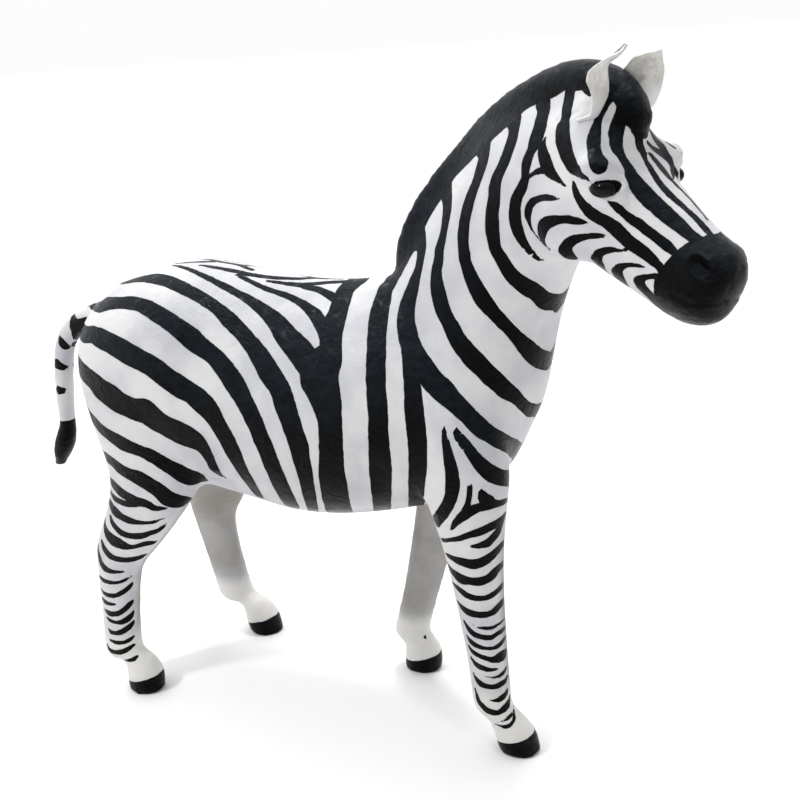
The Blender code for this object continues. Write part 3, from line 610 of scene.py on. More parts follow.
def turn_angle(points):
    """How far the neck has turned at each point, counted along the turning axis."""
    along = points[:, 0] * TURN_AXIS[0] + points[:, 2] * TURN_AXIS[1]
    return -TURN * smooth_step(along, TURN_START, TURN_END)


def about_pivot(points, angle):
    x, y = points[:, 0] - TURN_PIVOT_X, points[:, 1]
    return np.column_stack([
        TURN_PIVOT_X + x * np.cos(angle) - y * np.sin(angle),
        x * np.sin(angle) + y * np.cos(angle),
        points[:, 2],
    ])


def to_world(points):
    """Rest space to the world, for the neck and head."""
    points = np.array(points, float)
    return about_pivot(points, turn_angle(points)) * WITHERS + SHIFT


def to_rest(world, unswung=True):
    """World points in rest space, with Y as the distance outwards to the right."""
    posed = (np.array(world, float) - SHIFT) / WITHERS
    rest = posed.copy()
    for _ in range(TURN_PASSES):
        rest = about_pivot(posed, -turn_angle(rest))
    x, y, z = rest.T.copy()
    if not unswung:
        return np.column_stack([x, -y, z])
    right = np.where(y < 0, 1.0, -1.0)
    fade = 1 - smooth_step(z, LEG_TOP, LEG_FADE)
    low = z < BELLY_LOW
    by_foreleg = np.where(low, 1.0, smooth_step(x, FORE_SWINGS_FROM, FORE_SWINGS_FULL))
    by_hind_leg = np.where(low, 1.0, 1 - smooth_step(x, HIND_SWINGS_FULL, HIND_SWINGS_TO))
    fore = (x > FORELEG_BACK_X) * fade * by_foreleg
    hind = (x <= FORELEG_BACK_X) & (x > TAIL_FRONT_X) & (z < LEG_TOP)
    hind = hind * by_hind_leg
    for (pivot, reach, lean), share in ((FRONT_SWING, fore), (HIND_SWING, hind)):
        drop = np.clip((pivot - z) / pivot, 0.0, 1.0) * share
        x = x - right * reach * drop
        y = y - lean * drop
    return np.column_stack([x, -y, z])


def camera_axes():
    back = np.array((
        math.sin(AZIMUTH) * math.cos(ELEVATION),
        -math.cos(AZIMUTH) * math.cos(ELEVATION),
        math.sin(ELEVATION),
    ))
    level = np.array((math.cos(AZIMUTH), math.sin(AZIMUTH), 0.0))
    upright = np.cross(back, level)
    right = math.cos(ROLL) * level + math.sin(ROLL) * upright
    up = math.cos(ROLL) * upright - math.sin(ROLL) * level
    return right, up, back


def lens_world():
    return LENS_AT * WITHERS + SHIFT


class Photo:
    """Finds the point of the skin that the photograph shows at a pixel."""

    def __init__(self, tree):
        self.tree = tree
        self.right, self.up, self.back = camera_axes()
        self.lens = Vector(lens_world())

    def point(self, u, v):
        middle = PICTURE_PX / 2
        ray = -self.back + (u - middle) / FOCAL_PX * self.right - (v - middle) / FOCAL_PX * self.up
        ray = Vector(ray).normalized()
        hit = self.tree.ray_cast(self.lens, ray)[0]
        if hit is not None:
            return np.array(hit)
        # Just outside the outline: the nearest point of the skin.
        span = np.linspace(NEAREST, FARTHEST, SEARCH_STEPS)
        for _ in range(2):
            found = [(self.tree.find_nearest(self.lens + ray * t), t) for t in span]
            (place, _, _, _), t = min(found, key=lambda item: item[0][3])
            step = span[1] - span[0]
            span = np.linspace(t - step, t + step, SEARCH_FINER)
        return np.array(place)


def dense(line):
    """Points added along a line of pixels, on a Catmull-Rom curve."""
    table = np.array(line, float)
    padded = np.vstack([2 * table[0] - table[1], table, 2 * table[-1] - table[-2]])
    rows = []
    for i in range(1, len(table)):
        p0, p1, p2, p3 = padded[i - 1 : i + 3]
        count = max(1, int(np.hypot(*(p2 - p1)[:2]) / STROKE_STEP))
        for t in np.arange(count) / count:
            rows.append(
                0.5 * (2 * p1 + (p2 - p0) * t + (2 * p0 - 5 * p1 + 4 * p2 - p3) * t**2
                       + (3 * p1 - p0 - 3 * p2 + p3) * t**3)
            )
    rows.append(table[-1])
    return np.array(rows)


def brush_stroke(photo, line, far=False, unswung=True):
    """A stripe in rest space: its points and half widths, in shares of the height."""
    rows = dense(line)
    pixels, half = rows[:, :2], np.maximum(rows[:, 2], LEAST_HALF)
    along = np.gradient(pixels, axis=0)
    along /= np.linalg.norm(along, axis=1)[:, None] + 1e-9
    across = np.column_stack([-along[:, 1], along[:, 0]])
    middle = np.array([photo.point(*p) for p in pixels])
    left, right = [
        np.array([photo.point(*p) for p in pixels + across * half[:, None] * way]) - middle
        for way in (-1, 1)
    ]
    run = np.gradient(middle, axis=0)
    run /= np.linalg.norm(run, axis=1)[:, None] + 1e-9
    left, right = [
        np.linalg.norm(edge - (edge * run).sum(axis=1)[:, None] * run, axis=1)
        for edge in (left, right)
    ]
    less, more = np.minimum(left, right), np.maximum(left, right)
    wide = np.where(more > 2 * less, less, (less + more) / 2)
    plain = half * ((lens_world() - middle) @ photo.back) / FOCAL_PX
    wide = np.clip(wide, plain, plain * WIDEST) / WITHERS
    rest = to_rest(middle, unswung)
    if far:
        rest[:, 1] = -rest[:, 1]
    else:
        seen = (rest[:, 1] > 0) | (rest[:, 2] > LEG_TOP)
        rest, wide = rest[seen], wide[seen]
    rest[:, 1] = np.maximum(rest[:, 1], 0.0)
    return rest, wide


def round_to_middle(rest_tree, stroke):
    """Carries a stripe on from its lower end to the middle of the belly or throat."""
    centre, half = stroke
    last = centre[-1]
    run = last - centre[-FOLLOWED_BACK]
    run[1] = 0
    run /= np.linalg.norm(run)
    middle = last + run * last[1]
    middle[1] = 0
    shares = np.linspace(0, 1, POINTS_ROUND + 1)[1:]
    aims = [Vector(last + (middle - last) * share) for share in shares]
    added = [np.array(rest_tree.find_nearest(aim)[0]) for aim in aims]
    centre = np.vstack([centre, added])
    half[-BLUNT_END:] = half[-BLUNT_END:].max()
    half = np.concatenate([half, half[-1] * (1 - THINNING * shares)])
    return centre, half


def distance_to_stroke(points, centre, half):
    """Signed distance of points from a stroke's edge, negative inside."""
    best = np.full(len(points), np.inf)
    for i in range(len(centre) - 1):
        a, b = centre[i], centre[i + 1]
        run = b - a
        length = max(float(run @ run), 1e-12)
        t = np.clip((points - a) @ run / length, 0.0, 1.0)
        gap = np.linalg.norm(points - a - t[:, None] * run, axis=1)
        best = np.minimum(best, gap - (half[i] + (half[i + 1] - half[i]) * t))
    return best


def paint_stroke(paint, rest, stroke, chosen):
    """Lowers the paint's distance where this stroke is nearer."""
    centre, half = stroke
    reach = PAINT_REACH / WITHERS + half.max()
    low, high = centre.min(axis=0) - reach, centre.max(axis=0) + reach
    near = np.flatnonzero(chosen & np.all((rest > low) & (rest < high), axis=1))
    if len(near):
        paint[near] = np.minimum(paint[near], distance_to_stroke(rest[near], centre, half) * WITHERS)


def side_of_line(rest, line):
    """Signed distance in the XZ plane from a line, negative on its left."""
    plane, line = rest[:, [0, 2]], line[:, [0, 2]]
    best = np.full(len(plane), np.inf)
    signed = np.zeros(len(plane))
    for a, b in zip(line[:-1], line[1:]):
        run = b - a
        length = max(float(run @ run), 1e-12)
        t = np.clip((plane - a) @ run / length, 0.0, 1.0)
        gap = np.linalg.norm(plane - a - t[:, None] * run, axis=1)
        cross = run[0] * (plane[:, 1] - a[1]) - run[1] * (plane[:, 0] - a[0])
        closer = gap < best
        best[closer] = gap[closer]
        signed[closer] = (-np.sign(cross) * gap)[closer]
    return signed


def fetch(data):
    points = np.empty(len(data.vertices) * 3)
    data.vertices.foreach_get("co", points)
    return points.reshape(-1, 3)


def store(data, points):
    data.vertices.foreach_set("co", points.ravel())
    data.update()


def normals_of(data):
    normals = np.empty(len(data.vertices) * 3)
    data.vertex_normals.foreach_get("vector", normals)
    return normals.reshape(-1, 3)


def edges_of(data):
    edges = np.empty(len(data.edges) * 2, int)
    data.edges.foreach_get("vertices", edges)
    return edges.reshape(-1, 2)


def relaxed(points, edges, passes, weight=None):
    """Smooths without shrinking: each pass draws points in and lets them out again."""
    count = len(points)
    a, b = edges.T
    valence = np.bincount(np.concatenate([a, b]), minlength=count)[:, None]
    weight = 1.0 if weight is None else weight[:, None]
    for _ in range(passes):
        for factor in (DRAWN_IN, LET_OUT):
            mean = np.column_stack([
                np.bincount(a, points[b, k], count) + np.bincount(b, points[a, k], count)
                for k in range(3)
            ]) / np.maximum(valence, 1)
            points = points + factor * weight * (mean - points)
    return points


def along_turn(world):
    """How far along the turning axis each point of the world lies."""
    posed = (world - SHIFT) / WITHERS
    return posed[:, 0] * TURN_AXIS[0] + posed[:, 2] * TURN_AXIS[1]


def without_seats(body, inserts):
    """A copy of the part's body with the seats of the eyes and ears closed."""
    made = bmesh.new()
    made.from_mesh(body.data)
    bmesh.ops.remove_doubles(made, verts=made.verts, dist=1e-5)
    doomed = set()
    for insert in inserts:
        tree = BVHTree.FromPolygons(
            [v.co for v in insert.data.vertices], [p.vertices for p in insert.data.polygons]
        )
        for face in made.faces:
            if tree.find_nearest(face.calc_center_median(), SEAT_MIDDLE_GAP)[0] is None:
                continue
            if all(tree.find_nearest(v.co, SEAT_RIM_GAP)[0] is not None for v in face.verts):
                doomed.add(face)
    bmesh.ops.delete(made, geom=list(doomed), context="FACES")
    rims = [edge for edge in made.edges if edge.is_boundary]
    bmesh.ops.holes_fill(made, edges=rims)
    bmesh.ops.triangulate(made, faces=made.faces)
    crease = made.edges.layers.float.new("crease_edge")
    for edge in made.edges:
        if all(abs(v.co.z) < FLOOR_TOUCH for v in edge.verts):
            edge[crease] = 1.0
    data = bpy.data.meshes.new("zebra_hide")
    made.to_mesh(data)
    made.free()
    hide = bpy.data.objects.new("zebra_hide", data)
    bpy.context.scene.collection.objects.link(hide)
    return hide


def apply_modifier(thing, kind, **settings):
    bpy.ops.object.select_all(action="DESELECT")
    thing.select_set(True)
    bpy.context.view_layer.objects.active = thing
    modifier = thing.modifiers.new(kind.lower(), kind)
    for name, value in settings.items():
        setattr(modifier, name, value)
    bpy.ops.object.modifier_apply(modifier=modifier.name)


def tree_of(data):
    return BVHTree.FromPolygons([v.co for v in data.vertices], [p.vertices for p in data.polygons])


def split_faces(data, chosen):
    """Halves the edges of the faces whose points are all chosen."""
    made = bmesh.new()
    made.from_mesh(data)
    made.verts.ensure_lookup_table()
    faces = [f for f in made.faces if all(chosen[v.index] for v in f.verts)]
    edges = list({e for f in faces for e in f.edges})
    bmesh.ops.subdivide_edges(made, edges=edges, cuts=1, use_grid_fill=True)
    made.to_mesh(data)
    made.free()


def folded(rest):
    """Both sides of the animal laid on one."""
    return np.column_stack([rest[:, 0], np.abs(rest[:, 1]), rest[:, 2]])


def in_box(points, box, inset=0.0):
    low, high = np.array(box)
    return np.all((points > low + inset) & (points < high - inset), axis=1)


def in_fine_zone(points, inset=0.0):
    rest = to_rest(points)
    zone = (along_turn(points) > HEAD_LINE + inset) | in_box(rest, BACK_BOX, inset)
    for box in LEG_BOXES:
        zone |= in_box(folded(rest), box, inset)
    return zone


def by_eye_or_nose(rest, reach):
    eyes = np.linalg.norm(rest - EYE_AT, axis=1) < EYE_REACH * reach
    return eyes | (np.linalg.norm(rest - NOSTRIL_AT, axis=1) < NOSE_REACH * reach)


def kept_inside(points, box):
    """Presses the outermost skin softly into the part's own width."""
    low, high = box[0][1] + SOFT_SIDE, box[1][1] - SOFT_SIDE
    y = points[:, 1].copy()
    under, over = np.maximum(low - y, 0), np.maximum(y - high, 0)
    y = np.where(y < low, low - SOFT_SIDE * (1 - np.exp(-under / SOFT_SIDE)), y)
    y = np.where(y > high, high + SOFT_SIDE * (1 - np.exp(-over / SOFT_SIDE)), y)
    return np.column_stack([points[:, 0], y, points[:, 2]])


def make_skin(body, inserts):
    """The body's skin: even faces, finer on the legs and head, finest at eyes and nose."""
    hide = without_seats(body, inserts)
    apply_modifier(hide, "SUBSURF", levels=1, render_levels=1)
    smooth_shape = tree_of(hide.data)
    apply_modifier(hide, "REMESH", mode="VOXEL", voxel_size=SKIN_GRAIN)
    data = hide.data
    points = relaxed(fetch(data), edges_of(data), ROUNDING_PASSES)
    store(data, points)

    split_faces(data, in_fine_zone(points))
    points = fetch(data)
    zone = in_fine_zone(points, ZONE_INSET)
    points = relaxed(points, edges_of(data), ZONE_PASSES, zone.astype(float))
    points = flat_soles(points, smooth_shape)
    store(data, points)

    for reach in FINEST_REACHES:
        rest = folded(to_rest(fetch(data)))
        split_faces(data, by_eye_or_nose(rest, reach) | in_box(rest, RIDGE_BOX))
    points = fetch(data)
    close = by_eye_or_nose(folded(to_rest(points)), FINEST_RELAXED)
    store(data, relaxed(points, edges_of(data), FACE_PASSES, close.astype(float)))
    return hide


def flat_soles(points, tree):
    """Hooves drawn back onto the smooth shape, so that their rims stay crisp."""
    low = np.flatnonzero(points[:, 2] < SOLE_FREE)
    pull = 1 - smooth_step(points[low, 2], SOLE_CRISP, SOLE_FREE)
    for i, share in zip(low, pull):
        place = tree.find_nearest(Vector(points[i]))[0]
        points[i] += (np.array(place) - points[i]) * share
    points[:, 2] = np.maximum(points[:, 2], 0.0)
    return points


def keep_layer(data, name, values):
    data.attributes.new(name, "FLOAT", "POINT").data.foreach_set("value", values)


def paint_hide(hide):
    """Stores how far each point is from the edge of the black paint, and where shade is painted on the
    inner sides of the legs.
    """
    data = hide.data
    photo = Photo(tree_of(data))
    # With neighbours in different coats, the white between two stripes stays sharp.
    coats = np.full((COATS, len(data.vertices)), PAINT_REACH)
    # The side that shows is painted as it stands, and the other as its mirror image at rest.
    for unswung in (False, True):
        rest = to_rest(fetch(data), unswung)
        outwards = folded(rest)
        side = (rest[:, 1] < 0) == unswung
        rest_tree = BVHTree.FromPolygons(
            [Vector(p) for p in rest], [p.vertices for p in data.polygons]
        )
        for number, (name, line) in enumerate(STRIPES.items()):
            stroke = brush_stroke(photo, line, unswung=unswung)
            if name in ROUND_TO_MIDDLE:
                stroke = round_to_middle(rest_tree, stroke)
            if name in ROUND_THE_RUMP:
                stroke = round_to_middle(rest_tree, [rows[::-1].copy() for rows in stroke])
            paint_stroke(coats[number % COATS], outwards, stroke, side)
    bare = (rest[:, 1] < 0) & (rest[:, 0] > FORELEG_BACK_X) & (rest[:, 2] < LEG_TOP)
    coats[:, bare] = np.maximum(coats, (FAR_RINGS_FROM - outwards[:, 1]) * WITHERS)[:, bare]
    for number, line in enumerate(NEAR_MARKS):
        stroke = brush_stroke(photo, line)
        paint_stroke(coats[number % COATS], outwards, stroke, rest[:, 1] > 0)
    for number, line in enumerate(FAR_MARKS):
        stroke = brush_stroke(photo, line, far=True)
        paint_stroke(coats[number % COATS], outwards, stroke, rest[:, 1] < 0)

    paint = np.full(len(rest), PAINT_REACH)
    mane_line = to_rest(np.array([photo.point(*p) for p in MANE_EDGE]))
    crest = side_of_line(outwards, mane_line)
    crest = np.maximum(crest, mane_line[0, 0] - MANE_OVERHANG - outwards[:, 0])
    paint = np.where(rest[:, 2] > MANE_FOOT, np.minimum(paint, crest * WITHERS), paint)

    muzzle_line = to_rest(np.array([photo.point(*p) for p in MUZZLE_EDGE]))
    muzzle_line = muzzle_line[np.argsort(muzzle_line[:, 2])]
    start = np.interp(outwards[:, 2], muzzle_line[:, 2], muzzle_line[:, 0])
    muzzle = (start - outwards[:, 0]) * MUZZLE_SLANT * WITHERS
    paint = np.where(rest[:, 0] > MUZZLE_FROM, np.minimum(paint, muzzle), paint)

    hoof = (outwards[:, 2] < HOOF_TOP) & (rest[:, 0] > TAIL_FRONT_X)
    toe = outwards[:, 0] - np.where(outwards[:, 0] > FORELEG_BACK_X, HOOF_FRONT_X, HOOF_HIND_X)
    rim = (outwards[:, 2] - toe * HOOF_RIM_RISE) * WITHERS - HOOF_RIM
    paint = np.where(hoof, np.minimum(paint, rim), paint)
    tuft = (rest[:, 2] - to_rest(np.array([photo.point(*TUFT_AT)]))[0, 2]) * WITHERS
    paint = np.where(rest[:, 0] < TAIL_FRONT_X, np.minimum(paint, tuft), paint)

    coats[0] = np.minimum(coats[0], paint)
    for number, coat in enumerate(coats):
        keep_layer(data, f"paint_{number}", np.clip(coat, -PAINT_REACH, PAINT_REACH))
    # Painted shade: skin of the legs that faces inwards is darkened between the heights set above.
    inwards = -normals_of(data)[:, 1] * np.sign(fetch(data)[:, 1])
    inner_shade = smooth_step(inwards, *INNER_SHADE_FACING) * smooth_step(rest[:, 2], *INNER_SHADE_ABOVE)
    inner_shade *= (1 - smooth_step(rest[:, 2], *INNER_SHADE_BELOW)) * (rest[:, 0] > TAIL_FRONT_X)
    keep_layer(data, "inner_shade", inner_shade)
    return photo


def make_grooves(hide, photo, box):
    """Sculpts lids, nostrils, mouth and creases alike on both sides."""
    data = hide.data
    points, normals = fetch(data), normals_of(data)
    rest = folded(to_rest(points))
    rise = np.zeros(len(points))
    for mark in RELIEF.values():
        line = to_rest(np.array([photo.point(*p[:2]) for p in dense([(*p, 1.0) for p in mark.line])]))
        reach = 3 * mark.width / WITHERS
        near = np.flatnonzero(np.all(
            (rest > line.min(axis=0) - reach) & (rest < line.max(axis=0) + reach), axis=1
        ))
        gap = distance_to_stroke(rest[near], line, np.zeros(len(line))) * WITHERS
        rise[near] += mark.height * np.exp(-((gap / mark.width) ** 2))
    store(data, kept_inside(points + normals * rise[:, None], box))


def to_pixels(world):
    right, up, back = camera_axes()
    run = world - lens_world()
    depth = -run @ back
    middle = PICTURE_PX / 2
    across, upwards = run @ right / depth, run @ up / depth
    return np.column_stack([middle + FOCAL_PX * across, middle - FOCAL_PX * upwards]), depth


def side_distance(pixels, line):
    """Distance in pixels from a line in the picture."""
    best = np.full(len(pixels), np.inf)
    for a, b in zip(line[:-1], line[1:]):
        run = b - a
        t = np.clip((pixels - a) @ run / (run @ run), 0.0, 1.0)
        best = np.minimum(best, np.linalg.norm(pixels - a - t[:, None] * run, axis=1))
    return best


def drawn_to_photo(points, u, edges):
    """Moves a leaf's points level with the picture until its edges lie where they show."""
    right, up, _ = camera_axes()
    edges = np.array(sorted(edges))
    pixels, depth = to_pixels(points)
    tip = pixels[u > 0.999, 1].mean()
    drop = (edges[0, 0] - tip) * u**2
    wanted = pixels + np.column_stack([np.zeros(len(u)), drop])
    for row in np.unique(u.round(6)):
        own = np.abs(u - row) < 1e-4
        x, y = wanted[own].T
        low, high = x.min(), x.max()
        share = (x - low) / max(high - low, 1e-9)
        left, end = (np.interp(y, edges[:, 0], edges[:, k]) for k in (1, 2))
        blend = smooth_step(row, 0.0, EAR_EDGE_FROM)
        wanted[own, 0] = x + (left + share * (end - left) - x) * blend
    move = (wanted - pixels) * (depth / FOCAL_PX)[:, None]
    return points + np.outer(move[:, 0], right) - np.outer(move[:, 1], up)


def make_ear(name, side):
    """A thin curled leaf of leather on the part's own ear."""
    bpy.ops.object.select_all(action="DESELECT")
    bpy.ops.mesh.primitive_grid_add(
        x_subdivisions=EAR_COLUMNS - 1, y_subdivisions=EAR_ROWS - 1, size=2
    )
    ear = bpy.context.active_object
    ear.name = ear.data.name = name
    flat = fetch(ear.data)
    v, u = flat[:, 0], (flat[:, 1] + 1) / 2
    opens = np.array((-math.cos(EAR_OPENS), math.sin(EAR_OPENS), 0.0))
    across = np.array((math.sin(EAR_OPENS), math.cos(EAR_OPENS), 0.0))
    width = EAR_WIDTH * (0.60 + 1.5 * u) * (1 - u**2.2) + EAR_TIP
    width *= EAR_NECK + (1 - EAR_NECK) * smooth_step(u, 0.0, EAR_NECK_LENGTH)
    roll = EAR_ROLL * (1 - u) ** 1.5
    wave = 0.0016 * np.sin(9 * u + 2 * v) * u + 0.0012 * np.sin(17 * u - 3 * v) * np.abs(v) * u
    points = np.array(EAR_ROOT)
    points = points + np.outer(0.5 * width * v + EAR_SWEEP * u * u, across)
    points += np.outer(roll * (v * v - 0.5) - EAR_BEND * u**1.6 + wave, opens)
    points += np.outer(u, (0, EAR_LEAN_OUT, EAR_LENGTH)) - np.array((0, 0, EAR_SUNK))
    points[:, 1] -= EAR_PRESS * (1 - np.clip(u / EAR_PRESSED_TO, 0, 1)) ** 2
    points[:, 1] *= side
    points = drawn_to_photo(to_world(points), u, EAR_EDGES[name])
    store(ear.data, points)
    pixels, _ = to_pixels(points)
    gap = side_distance(pixels, np.array(EAR_STREAK)) if side < 0 else np.full(len(points), 9.0)
    keep_layer(ear.data, "streak", gap)
    keep_layer(ear.data, "root", 1 - smooth_step(u, 0.12, 0.5))
    thickness = EAR_LEATHER * EAR_SKIVED
    apply_modifier(ear, "SOLIDIFY", thickness=thickness, offset=0.0, use_even_offset=True)
    for polygon in ear.data.polygons:
        polygon.use_smooth = True
    return ear


def make_eye(name, side):
    """A glossy ball of the part's own eye."""
    bpy.ops.object.select_all(action="DESELECT")
    bpy.ops.mesh.primitive_uv_sphere_add(segments=56, ring_count=32, radius=1.0)
    eye = bpy.context.active_object
    eye.name = eye.data.name = name
    centre = np.array(EYE_AT) * (1, side, 1)
    store(eye.data, to_world(centre + fetch(eye.data) * EYE_SIZE))
    for polygon in eye.data.polygons:
        polygon.use_smooth = True
    return eye


class Nodes:
    """Short names for making a material's nodes."""

    def __init__(self, name):
        self.material = bpy.data.materials.new(name)
        self.material.use_nodes = True
        self.tree = self.material.node_tree
        self.shader = self.tree.nodes["Principled BSDF"]
        self.place = self.new("ShaderNodeTexCoord").outputs["Object"]

    def new(self, kind, **settings):
        node = self.tree.nodes.new(kind)
        for key, value in settings.items():
            setattr(node, key, value)
        return node

    def put(self, socket, value):
        if isinstance(value, bpy.types.NodeSocket):
            self.tree.links.new(value, socket)
        else:
            socket.default_value = value

    def noise(self, scale, detail=3.0, roughness=0.55, distortion=0.0, stretch=None):
        node = self.new("ShaderNodeTexNoise")
        place = self.place
        if stretch:
            mapping = self.new("ShaderNodeMapping")
            self.put(mapping.inputs["Vector"], place)
            mapping.inputs["Scale"].default_value = stretch
            place = mapping.outputs["Vector"]
        self.put(node.inputs["Vector"], place)
        self.put(node.inputs["Scale"], scale)
        self.put(node.inputs["Detail"], detail)
        self.put(node.inputs["Roughness"], roughness)
        self.put(node.inputs["Distortion"], distortion)
        return node.outputs["Fac"]

    def math(self, kind, a, b=0.0, c=0.0):
        node = self.new("ShaderNodeMath", operation=kind)
        for socket, value in zip(node.inputs, (a, b, c)):
            self.put(socket, value)
        return node.outputs["Value"]

    def upward(self, vector):
        node = self.new("ShaderNodeSeparateXYZ")
        self.put(node.inputs[0], vector)
        return node.outputs["Z"]

    def span(self, value, low, high, to_low=0.0, to_high=1.0):
        node = self.new("ShaderNodeMapRange", interpolation_type="SMOOTHSTEP")
        for key, entry in zip(
            ("Value", "From Min", "From Max", "To Min", "To Max"), (value, low, high, to_low, to_high)
        ):
            self.put(node.inputs[key], entry)
        return node.outputs["Result"]

    def mix(self, share, a, b):
        node = self.new("ShaderNodeMix", data_type="RGBA")
        self.put(node.inputs[0], share)
        self.put(node.inputs[6], (*a, 1.0) if isinstance(a, tuple) else a)
        self.put(node.inputs[7], (*b, 1.0) if isinstance(b, tuple) else b)
        return node.outputs[2]

    def bump(self, height, distance, strength=1.0, under=None):
        node = self.new("ShaderNodeBump")
        self.put(node.inputs["Height"], height)
        self.put(node.inputs["Distance"], distance)
        self.put(node.inputs["Strength"], strength)
        if under is not None:
            self.put(node.inputs["Normal"], under)
        return node.outputs["Normal"]

    def finish(self, **sockets):
        for key, value in sockets.items():
            if isinstance(value, tuple) and len(value) == 3:
                value = (*value, 1.0)
            self.put(self.shader.inputs[key.replace("_", " ")], value)
        return self.material


WHITE_PAINT, COOL_WHITE, DUST = (0.64, 0.64, 0.645), (0.49, 0.495, 0.525), (0.40, 0.36, 0.31)
# The warm grey of the painted shade on the inner sides of the legs.
INNER_SHADE_GREY = (0.30, 0.285, 0.265)
# The blue-grey is a painted sheen on the black where it faces up.
BLACK_PAINT, SHEEN_BLUE_GREY = (0.0004, 0.0004, 0.0005), (0.0085, 0.0125, 0.018)
# The light grey on this line is a painted highlight on the black, and the cream a painted fill light
# over the feet's creamier paint.
PAINTED_GLEAM_GREY, CREAM_FILL_LIGHT = (0.10, 0.115, 0.125), (0.72, 0.71, 0.68)
FEET_FILL_TOP = (0.10, 0.14)  # in metres: the cream of the feet, lightened as painted fill light, fades out between these heights
PAINT_SHINE, EYE_SHINE = 0.055, 0.10  # lower than real gloss, to match the photograph's blacks
PALE_HIDE, THIN_HIDE = (0.70, 0.69, 0.66), (0.48, 0.465, 0.43)
VEIN, DARK_SMEAR = (0.20, 0.19, 0.18), (0.02, 0.02, 0.02)
BLACK_GLASS, DUSTY_GLASS = (0.004, 0.004, 0.005), (0.012, 0.012, 0.014)
PALE_PAPER, WHITE_PAPER = (0.89, 0.89, 0.89), (0.92, 0.92, 0.92)


def painted_hide():
    """White paint with black stripes over creased leather."""
    n = Nodes("painted_hide")
    edge = PAINT_REACH
    for number in range(COATS):
        coat = n.new("ShaderNodeAttribute", attribute_name=f"paint_{number}")
        edge = n.math("MINIMUM", coat.outputs["Fac"], edge)
    wander = n.math("MULTIPLY_ADD", n.noise(42, 2.0), 0.0042, -0.0021)
    teeth = n.math("MULTIPLY_ADD", n.noise(210, 3.0, 0.7), 0.0022, -0.0011)
    edge = n.math("ADD", edge, n.math("ADD", wander, teeth))
    white = n.span(edge, -0.00035, 0.00045)

    clean = n.mix(n.span(n.noise(7, 5.0), 0.35, 0.68), WHITE_PAINT, COOL_WHITE)
    smudge = n.math("MULTIPLY", n.span(n.noise(26, 6.0, 0.72), 0.60, 0.80), 0.30)
    clean = n.mix(smudge, clean, DUST)
    # Painted shade on the inner sides of the legs, made blotchy, in a warm grey.
    inner_shade = n.new("ShaderNodeAttribute", attribute_name="inner_shade").outputs["Fac"]
    blotched = n.span(n.noise(12, 5.0), 0.3, 0.7, 0.65, 1.0)
    clean = n.mix(n.math("MULTIPLY", inner_shade, blotched), clean, INNER_SHADE_GREY)
    # Painted fill light: the feet are lightened towards cream near the floor, over their own creamier
    # paint.
    clean = n.mix(n.span(n.upward(n.place), *FEET_FILL_TOP, 1.0, 0.0), clean, CREAM_FILL_LIGHT)
    # Painted sheen: black that faces up turns blue-grey, broken up by brush marks.
    brush_and_sheen = n.span(n.noise(34, 7.0, 0.75, 0.6, (1.0, 1.0, 2.6)), 0.36, 0.66, 0.35, 1.0)
    facing_up = n.upward(n.new("ShaderNodeTexCoord").outputs["Normal"])
    brush_and_sheen = n.math("MULTIPLY", brush_and_sheen, n.span(facing_up, -0.05, 0.45))
    dark = n.mix(brush_and_sheen, BLACK_PAINT, SHEEN_BLUE_GREY)
    # Painted highlight: light grey specks on the crinkles of black that faces up, in place of glints.
    painted_gleam = n.span(n.noise(52, 8.0, 0.70, 0.5), 0.54, 0.72)
    painted_gleam = n.math("MULTIPLY", painted_gleam, n.span(facing_up, 0.40, 0.95))
    dark = n.mix(painted_gleam, dark, PAINTED_GLEAM_GREY)
    color = n.mix(white, dark, clean)

    worn = n.noise(55, 6.0, 0.7)
    white_gloss = n.span(worn, 0.3, 0.7, 0.62, 0.46)
    black_gloss = n.span(worn, 0.3, 0.7, 0.24, 0.09)
    gloss = n.mix(white, black_gloss, white_gloss)

    folds = n.bump(n.noise(16, 5.0, 0.6, 0.8), 0.0060, 0.55)
    crinkle = n.bump(n.noise(95, 6.0, 0.72, 0.5), 0.0018, 0.65, folds)
    wrinkles = n.math("MULTIPLY", n.noise(44, 8.0, 0.66, 1.6), n.math("SUBTRACT", 1.0, white))
    crinkle = n.bump(wrinkles, 0.0085, 0.60, crinkle)
    coat = n.bump(n.math("SUBTRACT", 1.0, white), 0.0004, 0.6, crinkle)
    n.shader.inputs["Specular IOR Level"].default_value = PAINT_SHINE
    return n.finish(Base_Color=color, Roughness=gloss, Normal=coat)


def ear_leather():
    """Bare pale hide, thin and uneven."""
    n = Nodes("ear_leather")
    tone = n.mix(n.span(n.noise(30, 6.0, 0.65), 0.35, 0.7), PALE_HIDE, THIN_HIDE)
    veins = n.span(n.noise(60, 4.0, 0.6, 1.5, (1.0, 1.0, 0.35)), 0.56, 0.72)
    tone = n.mix(n.math("MULTIPLY", veins, 0.5), tone, VEIN)
    root = n.new("ShaderNodeAttribute", attribute_name="root").outputs["Fac"]
    tone = n.mix(root, tone, WHITE_PAINT)
    streak = n.new("ShaderNodeAttribute", attribute_name="streak").outputs["Fac"]
    tone = n.mix(n.span(streak, 0.7, 1.3, 1.0, 0.0), tone, DARK_SMEAR)
    ripple = n.bump(n.noise(70, 6.0, 0.7, 1.0), 0.0016, 0.5)
    rough = n.span(n.noise(80), 0.3, 0.7, 0.55, 0.8)
    return n.finish(Base_Color=tone, Roughness=rough, Normal=ripple)


